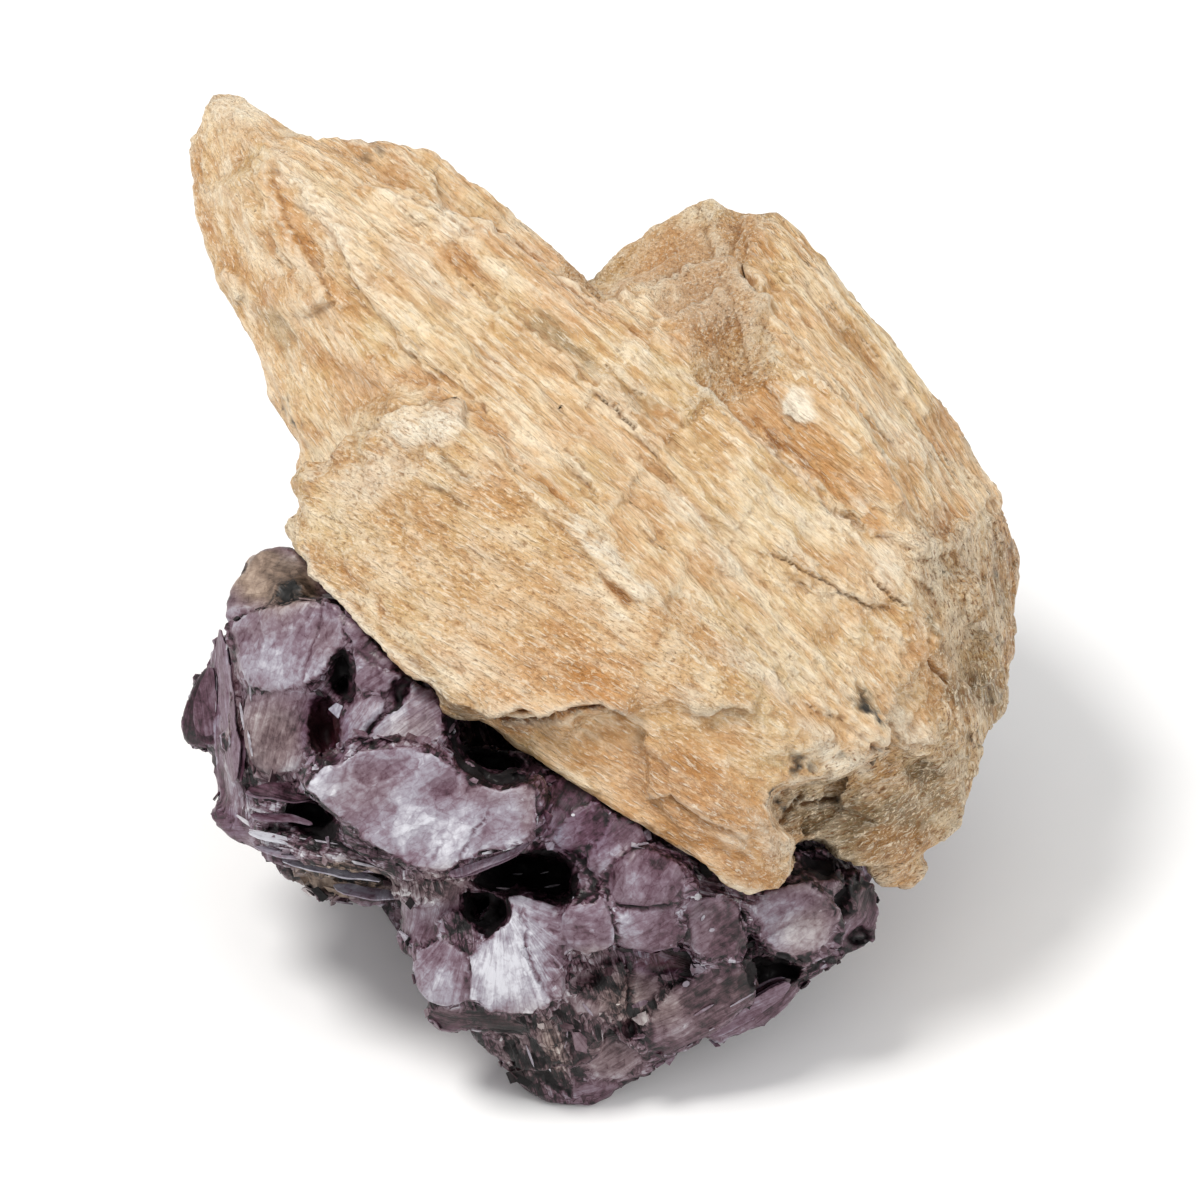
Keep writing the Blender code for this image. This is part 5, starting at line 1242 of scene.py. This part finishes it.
def add_flakes(heap, mesh):
    """Small worn flakes all over the mass, nearly parallel to each other within each patch."""
    places, normals = corner_places(mesh), corner_normals(mesh)
    crumple = np.empty(len(places))
    mesh.attributes["crumple"].data.foreach_get("value", crumple)
    draw = np.random.default_rng(41)
    rough = np.flatnonzero((crumple > 0.8) & (places[:, 2] > 2 * MM))
    for count, smallest, largest in FLAKE_SIZES:
        chosen = draw.choice(rough, count, replace=False)
        spots, facing = places[chosen], normals[chosen]
        patch = np.stack([chip_noise(spots / FLAKE_DOMAIN, 42 + i, lean=0) for i in range(3)], axis=1)
        facing = facing + 0.8 * patch + draw.normal(0, 0.25, facing.shape)
        facing /= np.linalg.norm(facing, axis=1)[:, None]
        lighter, warmer = tints(seen_at(spots)[0])
        for number, (place, normal) in enumerate(zip(spots, facing)):
            side = np.cross(normal, (0.3, 0.9, 0.2))
            side /= np.linalg.norm(side)
            corners = draw.integers(4, 7)
            turns = (np.arange(corners) + draw.uniform(-0.3, 0.3, corners)) * 2 * math.pi / corners
            reach = draw.uniform(smallest, largest) * draw.uniform(0.6, 1.1, corners) * MM
            if place[2] < reach.max() + 0.4 * MM:
                continue
            flat = np.stack((np.cos(turns) * reach, np.sin(turns) * reach * draw.uniform(0.35, 1.0)), axis=1)
            lift = normal * draw.uniform(-0.05, 0.2) * MM
            tone = 0.27 + draw.normal(0, 0.16) + 0.5 * draw.random() ** 7 + lighter[number]
            add_flake(heap, place + lift, side, np.cross(normal, side), flat, draw.uniform(0.08, 0.2) * MM,
                      tone, 0.15 + warmer[number])


def add_flakes_and_painted_glints(heap, mesh):
    """Bright flakes, partly pale mica and partly painted glints and highlights, that lie on the surface where the
    camera sees it.
    """
    tree = BVHTree.FromPolygons([v.co[:] for v in mesh.vertices], [tuple(p.vertices) for p in mesh.polygons])
    for length, width, turn_degrees, tone, (across, down) in MICA_FLAKES_AND_PAINTED_GLINTS.values():
        turn = math.radians(turn_degrees)
        reach = np.array((math.cos(turn), -math.sin(turn))) * length / 3
        ends = [(across + sign * reach[0], down + sign * reach[1]) for sign in (-1, 1)]
        first, last = (spot(*end, seen_depth(tree, end) + 0.15) for end in ends)
        along = (last - first) / np.linalg.norm(last - first)
        if (last - first) @ OUT > 0.6 * np.linalg.norm(last - first):
            along = ACROSS * math.cos(turn) + UP * math.sin(turn)
        side = np.cross(OUT, along)
        turns = np.arange(7) * 2 * math.pi / 7
        flat = np.stack((np.cos(turns) * length, np.sin(turns) * width), axis=1) * PIXEL / 2
        add_flake(heap, (first + last) / 2, along, side / np.linalg.norm(side), flat, 0.15 * MM, tone, 0.2)


# Materials

class Nodes:
    """Short ways to add shader nodes to a material."""

    def __init__(self, name):
        self.material = bpy.data.materials.new(name)
        self.material.use_nodes = True
        self.tree = self.material.node_tree
        self.shader = self.tree.nodes["Principled BSDF"]

    def link(self, source, target):
        self.tree.links.new(source, target)

    def attribute(self, name, output="Fac"):
        node = self.tree.nodes.new("ShaderNodeAttribute")
        node.attribute_name = name
        return node.outputs[output]

    def scaled(self, vector, scale):
        node = self.tree.nodes.new("ShaderNodeMapping")
        node.inputs["Scale"].default_value = scale
        self.link(vector, node.inputs["Vector"])
        return node.outputs["Vector"]

    def noise(self, vector, scale, detail=4, roughness=0.55, distortion=0):
        node = self.tree.nodes.new("ShaderNodeTexNoise")
        node.inputs["Scale"].default_value = scale
        node.inputs["Detail"].default_value = detail
        node.inputs["Roughness"].default_value = roughness
        node.inputs["Distortion"].default_value = distortion
        self.link(vector, node.inputs["Vector"])
        return node.outputs["Fac"]

    def cells(self, vector, scale, feature="F1", output="Distance"):
        node = self.tree.nodes.new("ShaderNodeTexVoronoi")
        node.feature = feature
        node.inputs["Scale"].default_value = scale
        self.link(vector, node.inputs["Vector"])
        return node.outputs[output]

    def ramp(self, factor, stops):
        node = self.tree.nodes.new("ShaderNodeValToRGB")
        bands = node.color_ramp.elements
        while len(bands) < len(stops):
            bands.new(0.5)
        for band, (position, colour) in zip(bands, stops):
            band.position = position
            band.color = colour if isinstance(colour, tuple) else (colour, colour, colour, 1)
        self.link(factor, node.inputs["Fac"])
        return node.outputs["Color"]

    def blend(self, factor, first, second, kind="MIX"):
        node = self.tree.nodes.new("ShaderNodeMix")
        node.data_type = "RGBA"
        node.blend_type = kind
        node.clamp_factor = True
        for socket, value in ((node.inputs[0], factor), (node.inputs[6], first), (node.inputs[7], second)):
            if isinstance(value, bpy.types.NodeSocket):
                self.link(value, socket)
            else:
                socket.default_value = value
        return node.outputs[2]

    def maths(self, kind, first, second=0.5, third=None):
        node = self.tree.nodes.new("ShaderNodeMath")
        node.operation = kind
        for socket, value in zip(node.inputs, (first, second, third)):
            if isinstance(value, bpy.types.NodeSocket):
                self.link(value, socket)
            elif value is not None:
                socket.default_value = value
        return node.outputs[0]

    def bump(self, height, strength, distance):
        node = self.tree.nodes.new("ShaderNodeBump")
        node.inputs["Strength"].default_value = strength
        node.inputs["Distance"].default_value = distance
        self.link(height, node.inputs["Height"])
        self.link(node.outputs["Normal"], self.shader.inputs["Normal"])


def feldspar_material():
    m = Nodes("feldspar")
    fibre = m.attribute("fibre", "Vector")
    place = m.tree.nodes.new("ShaderNodeTexCoord").outputs["Object"]
    clouds = m.noise(place, 170, 4, 0.6, 0.5)
    hues = m.noise(place, 90, 4, 0.55, 0.8)
    bands = m.noise(m.scaled(fibre, (0.11, 0.7, 0.7)), 1.0, 4, 0.65, 0.3)
    threads = m.noise(m.scaled(fibre, (0.5, 3.6, 3.6)), 1.0, 3, 0.6)
    hairs = m.noise(m.scaled(fibre, (1.1, 9.0, 9.0)), 1.0, 2, 0.6)
    grains = m.noise(m.scaled(fibre, (1.6, 3.2, 3.2)), 1.0, 3, 0.7, 0.5)
    grainy = m.attribute("grainy")

    colour = m.ramp(clouds, [
        (0.3, linear(188, 137, 84)), (0.43, linear(209, 168, 117)), (0.54, linear(224, 192, 147)),
        (0.66, linear(240, 219, 184))])
    colour = m.blend(m.maths("MULTIPLY", m.ramp(hues, [(0.5, 0.0), (0.66, 1.0)]), 0.25), colour,
                     linear(224, 180, 148))
    colour = m.blend(m.maths("MULTIPLY", m.ramp(hues, [(0.34, 1.0), (0.48, 0.0)]), 0.35), colour,
                     linear(204, 178, 122))
    colour = m.blend(m.maths("MULTIPLY", m.ramp(bands, [(0.5, 0.0), (0.62, 1.0)]), 0.65), colour,
                     linear(246, 230, 202))
    colour = m.blend(m.maths("MULTIPLY", m.ramp(bands, [(0.36, 1.0), (0.47, 0.0)]), 0.5), colour,
                     linear(192, 140, 88))
    # Olive tint, and painted shade in recesses, as olive-brown.
    olive_and_painted_shade = m.maths("MULTIPLY", m.attribute("olive_and_painted_shade"), m.maths("MULTIPLY_ADD", threads, 2.6, -0.35))
    colour = m.blend(olive_and_painted_shade, colour, linear(126, 102, 62))
    # Stain and painted shade: orange-brown, turning dark brown where strongest, as under the bottom ledge and in the
    # cracks.
    stain_and_painted_shade = m.maths("MULTIPLY", m.attribute("stain_and_painted_shade"), m.maths("MULTIPLY_ADD", threads, 1.6, 0.1))
    colour = m.blend(m.maths("MULTIPLY", stain_and_painted_shade, 0.8), colour, linear(192, 130, 58))
    colour = m.blend(m.maths("MULTIPLY_ADD", stain_and_painted_shade, 1.4, -1.05), colour, linear(118, 70, 30))
    # Pale patches, painted highlights and painted light through the thin rims, as pale cream.
    pale_and_painted_light = m.maths("MULTIPLY", m.attribute("pale_and_painted_light"), m.maths("MULTIPLY_ADD", threads, 2.0, -0.25))
    colour = m.blend(pale_and_painted_light, colour, linear(242, 230, 208))
    fleck = m.maths("MULTIPLY", m.ramp(grains, [(0.55, 0.0), (0.64, 1.0)]), m.maths("MULTIPLY_ADD", grainy, 0.95, 0.15))
    colour = m.blend(fleck, colour, linear(238, 216, 184))
    fleck = m.maths("MULTIPLY", m.ramp(grains, [(0.36, 1.0), (0.45, 0.0)]), m.maths("MULTIPLY_ADD", grainy, 0.85, 0.1))
    colour = m.blend(fleck, colour, linear(142, 100, 60))
    colour = m.blend(m.maths("MULTIPLY", m.ramp(threads, [(0.57, 0.0), (0.66, 1.0)]), 0.6), colour,
                     linear(248, 234, 210))
    colour = m.blend(m.maths("MULTIPLY", m.ramp(threads, [(0.32, 1.0), (0.42, 0.0)]), 0.35), colour,
                     linear(156, 114, 70))
    colour = m.blend(m.maths("MULTIPLY", m.ramp(hairs, [(0.3, 1.0), (0.4, 0.0)]), 0.12), colour,
                     linear(150, 110, 70))
    # Darker where the surface lies below its neighbours, as painted shade in creases, and lighter where it stands above
    # them, as worn edges and painted highlight.
    edge = m.attribute("edge")
    colour = m.blend(m.maths("MULTIPLY", edge, -0.7), colour, linear(138, 92, 50))
    colour = m.blend(m.maths("MULTIPLY", edge, 0.55), colour, linear(250, 236, 212))
    colour = m.blend(m.attribute("speck"), colour, linear(30, 28, 24))
    m.link(colour, m.shader.inputs["Base Color"])
    m.link(m.ramp(hairs, [(0.3, 0.32), (0.7, 0.6)]), m.shader.inputs["Roughness"])
    m.shader.inputs["Specular IOR Level"].default_value = 0.5
    height = m.maths("ADD", m.maths("MULTIPLY", threads, 1.0), m.maths("MULTIPLY", hairs, 0.35))
    height = m.maths("ADD", height, m.maths("MULTIPLY", m.maths("MULTIPLY", grains, grainy), 1.0))
    height = m.maths("ADD", height, m.maths("MULTIPLY", bands, 1.2))
    m.bump(height, 1.0, 0.5 * MM)
    return m.material


def mica_material():
    m = Nodes("mica")
    place = m.tree.nodes.new("ShaderNodeTexCoord").outputs["Object"]
    grain = m.attribute("grain", "Vector")
    crumple = m.attribute("crumple")
    stripes = m.attribute("stripes")
    clouds = m.noise(place, 330, 5, 0.62, 0.8)
    fine = m.noise(place, 1500, 3, 0.65, 0.4)
    sheets = m.noise(m.scaled(grain, (0.22, 2.6, 0.5)), 1.0, 3, 0.65, 0.2)
    lines = m.noise(m.scaled(grain, (0.3, 6.0, 0.8)), 1.0, 2, 0.6, 0.4)
    shards = m.cells(m.scaled(grain, (0.7, 1.5, 1.0)), 1.0, output="Color")
    chips = m.cells(place, 1700, output="Color")
    gaps = m.ramp(m.cells(m.scaled(grain, (0.7, 1.5, 1.0)), 1.0, "DISTANCE_TO_EDGE"), [(0.0, 1.0), (0.07, 0.0)])
    shard_tone = m.maths("SUBTRACT", m.maths("MULTIPLY", shards, 1.0), 0.5)
    chip_tone = m.maths("SUBTRACT", m.maths("MULTIPLY", chips, 1.0), 0.5)
    base = m.attribute("tone")
    mottle = m.maths("MULTIPLY", m.maths("SUBTRACT", clouds, 0.5), m.maths("MULTIPLY_ADD", crumple, 1.0, 0.4))
    tone = m.maths("ADD", base, mottle)
    tone = m.maths("ADD", tone, m.maths("MULTIPLY_ADD", fine, 0.5, -0.25))
    tone = m.maths("ADD", tone, m.maths("MULTIPLY", m.maths("MULTIPLY_ADD", sheets, 1.7, -0.85), stripes))
    tone = m.maths("ADD", tone, m.maths("MULTIPLY", m.maths("MULTIPLY_ADD", lines, 0.9, -0.45), stripes))
    tone = m.maths("ADD", tone, m.maths("MULTIPLY", m.maths("MULTIPLY", shard_tone, crumple), 0.4))
    tone = m.maths("ADD", tone, m.maths("MULTIPLY", m.maths("MULTIPLY", chip_tone, crumple), 0.26))
    tone = m.maths("SUBTRACT", tone, m.maths("MULTIPLY", m.maths("MULTIPLY", gaps, crumple), 0.26))
    glint = m.maths("MULTIPLY", m.ramp(chips, [(0.86, 0.0), (0.92, 1.0)]), m.ramp(shards, [(0.6, 0.0), (0.7, 1.0)]))
    tone = m.maths("ADD", tone, m.maths("MULTIPLY", m.maths("MULTIPLY", glint, crumple), 0.5))
    tone = m.maths("MULTIPLY", tone, m.ramp(base, [(0.02, 0.2), (0.12, 1.0)]))
    cool = m.ramp(tone, [
        (0.0, linear(10, 3, 7)), (0.13, linear(42, 20, 30)), (0.3, linear(84, 54, 70)),
        (0.5, linear(116, 96, 112)), (0.72, linear(148, 145, 160)), (1.0, linear(202, 204, 214))])
    warm = m.ramp(tone, [
        (0.0, linear(10, 8, 6)), (0.14, linear(42, 32, 26)), (0.32, linear(84, 68, 58)),
        (0.54, linear(132, 112, 98)), (0.76, linear(170, 150, 134)), (1.0, linear(206, 192, 178))])
    colour = m.blend(m.attribute("warm"), cool, warm)
    wine = m.maths("MULTIPLY", m.attribute("warm"), -1.2)
    colour = m.blend(wine, colour, linear(64, 24, 30))
    m.link(colour, m.shader.inputs["Base Color"])
    gloss = m.ramp(fine, [(0.3, 0.26), (0.7, 0.5)])
    m.link(m.maths("ADD", gloss, m.ramp(base, [(0.02, 0.4), (0.14, 0.0)])), m.shader.inputs["Roughness"])
    m.shader.inputs["Specular IOR Level"].default_value = 0.35
    m.shader.inputs["Coat Weight"].default_value = 0.06
    m.shader.inputs["Coat Roughness"].default_value = 0.2
    height = m.maths("ADD", m.maths("MULTIPLY", m.maths("MULTIPLY", sheets, stripes), 1.2),
                     m.maths("MULTIPLY", m.maths("MULTIPLY", lines, stripes), 0.6))
    height = m.maths("ADD", height, m.maths("MULTIPLY", m.maths("MULTIPLY", shard_tone, crumple), 0.6))
    height = m.maths("ADD", height, m.maths("MULTIPLY", fine, 0.2))
    m.bump(height, 0.9, 0.3 * MM)
    return m.material


def floor_material():
    m = Nodes("floor")
    place = m.tree.nodes.new("ShaderNodeTexCoord").outputs["Object"]
    m.link(m.ramp(m.noise(place, 40, 3), [(0.3, linear(246, 246, 246)), (0.7, linear(250, 250, 250))]),
           m.shader.inputs["Base Color"])
    m.shader.inputs["Roughness"].default_value = 0.9
    m.shader.inputs["Specular IOR Level"].default_value = 0.1
    return m.material


# Stage

def aim(obj, place, target):
    obj.location = place
    obj.rotation_mode = "QUATERNION"
    obj.rotation_quaternion = (Vector(place) - Vector(target)).to_track_quat("Z", "Y")


def add_light(name, place, size, watts, colour=(1, 1, 1)):
    light = bpy.data.lights.new(name, "AREA")
    light.shape = "DISK"
    light.size = size
    light.energy = watts
    light.color = colour
    obj = bpy.data.objects.new(name, light)
    bpy.context.scene.collection.objects.link(obj)
    aim(obj, place, VIEW_CENTRE)


def build_stage():
    floor = mesh_from("floor", [(-3, -3, 0), (3, -3, 0), (3, 3, 0), (-3, 3, 0)], [(0, 1, 2, 3)])
    piece = bpy.data.objects.new("floor", floor)
    bpy.context.scene.collection.objects.link(piece)
    floor.materials.append(floor_material())
    scene = bpy.context.scene
    scene.view_settings.view_transform = "Standard"
    world = bpy.data.worlds.new("studio")
    scene.world = world
    world.use_nodes = True
    world.node_tree.nodes["Background"].inputs["Color"].default_value = (1, 1, 1, 1)
    world.node_tree.nodes["Background"].inputs["Strength"].default_value = 0.68
    add_light("key", (-0.3, -0.12, 0.72), 0.24, 4.1, (1.0, 0.98, 0.95))
    add_light("fill", (0.6, -0.5, 0.4), 0.5, 2.2)
    camera = bpy.data.objects.new("camera", bpy.data.cameras.new("camera"))
    scene.collection.objects.link(camera)
    camera.data.sensor_width = 36
    camera.data.lens = 36 * CAMERA_DISTANCE / (PHOTO_PIXELS * PIXEL)
    camera.data.clip_start = 0.01
    aim(camera, VIEW_CENTRE + OUT * CAMERA_DISTANCE, VIEW_CENTRE)
    scene.camera = camera


def build_specimen():
    feldspar = shape_feldspar(0.3 * MM, 195000)
    finish_piece("feldspar_blades", feldspar, "feldspar_crystals", feldspar_material())
    material = mica_material()
    mica = shape_mica(0.3 * MM, 195000)
    flakes = Heap()
    add_flakes(flakes, mica)
    sheets = Heap()
    for seed, book in enumerate(MICA_LAMELLAE.values()):
        add_sheets(sheets, book, seed + 1)
    # Bright flakes, many of which paint glints and highlights.
    add_flakes_and_painted_glints(flakes, mica)
    finish_piece("mica_mass", mica, "lepidolite_mica", material)
    finish_piece("mica_flakes_and_painted_glints", flakes.mesh("mica_flakes_and_painted_glints"), "lepidolite_mica", material)
    finish_piece("mica_sheets", sheets.mesh("mica_sheets"), "lepidolite_mica", material)


build_specimen()
build_stage()
for piece in bpy.context.scene.objects:
    if piece.type == "MESH":
        print(piece.name, sum(len(p.vertices) - 2 for p in piece.data.polygons), "triangles")
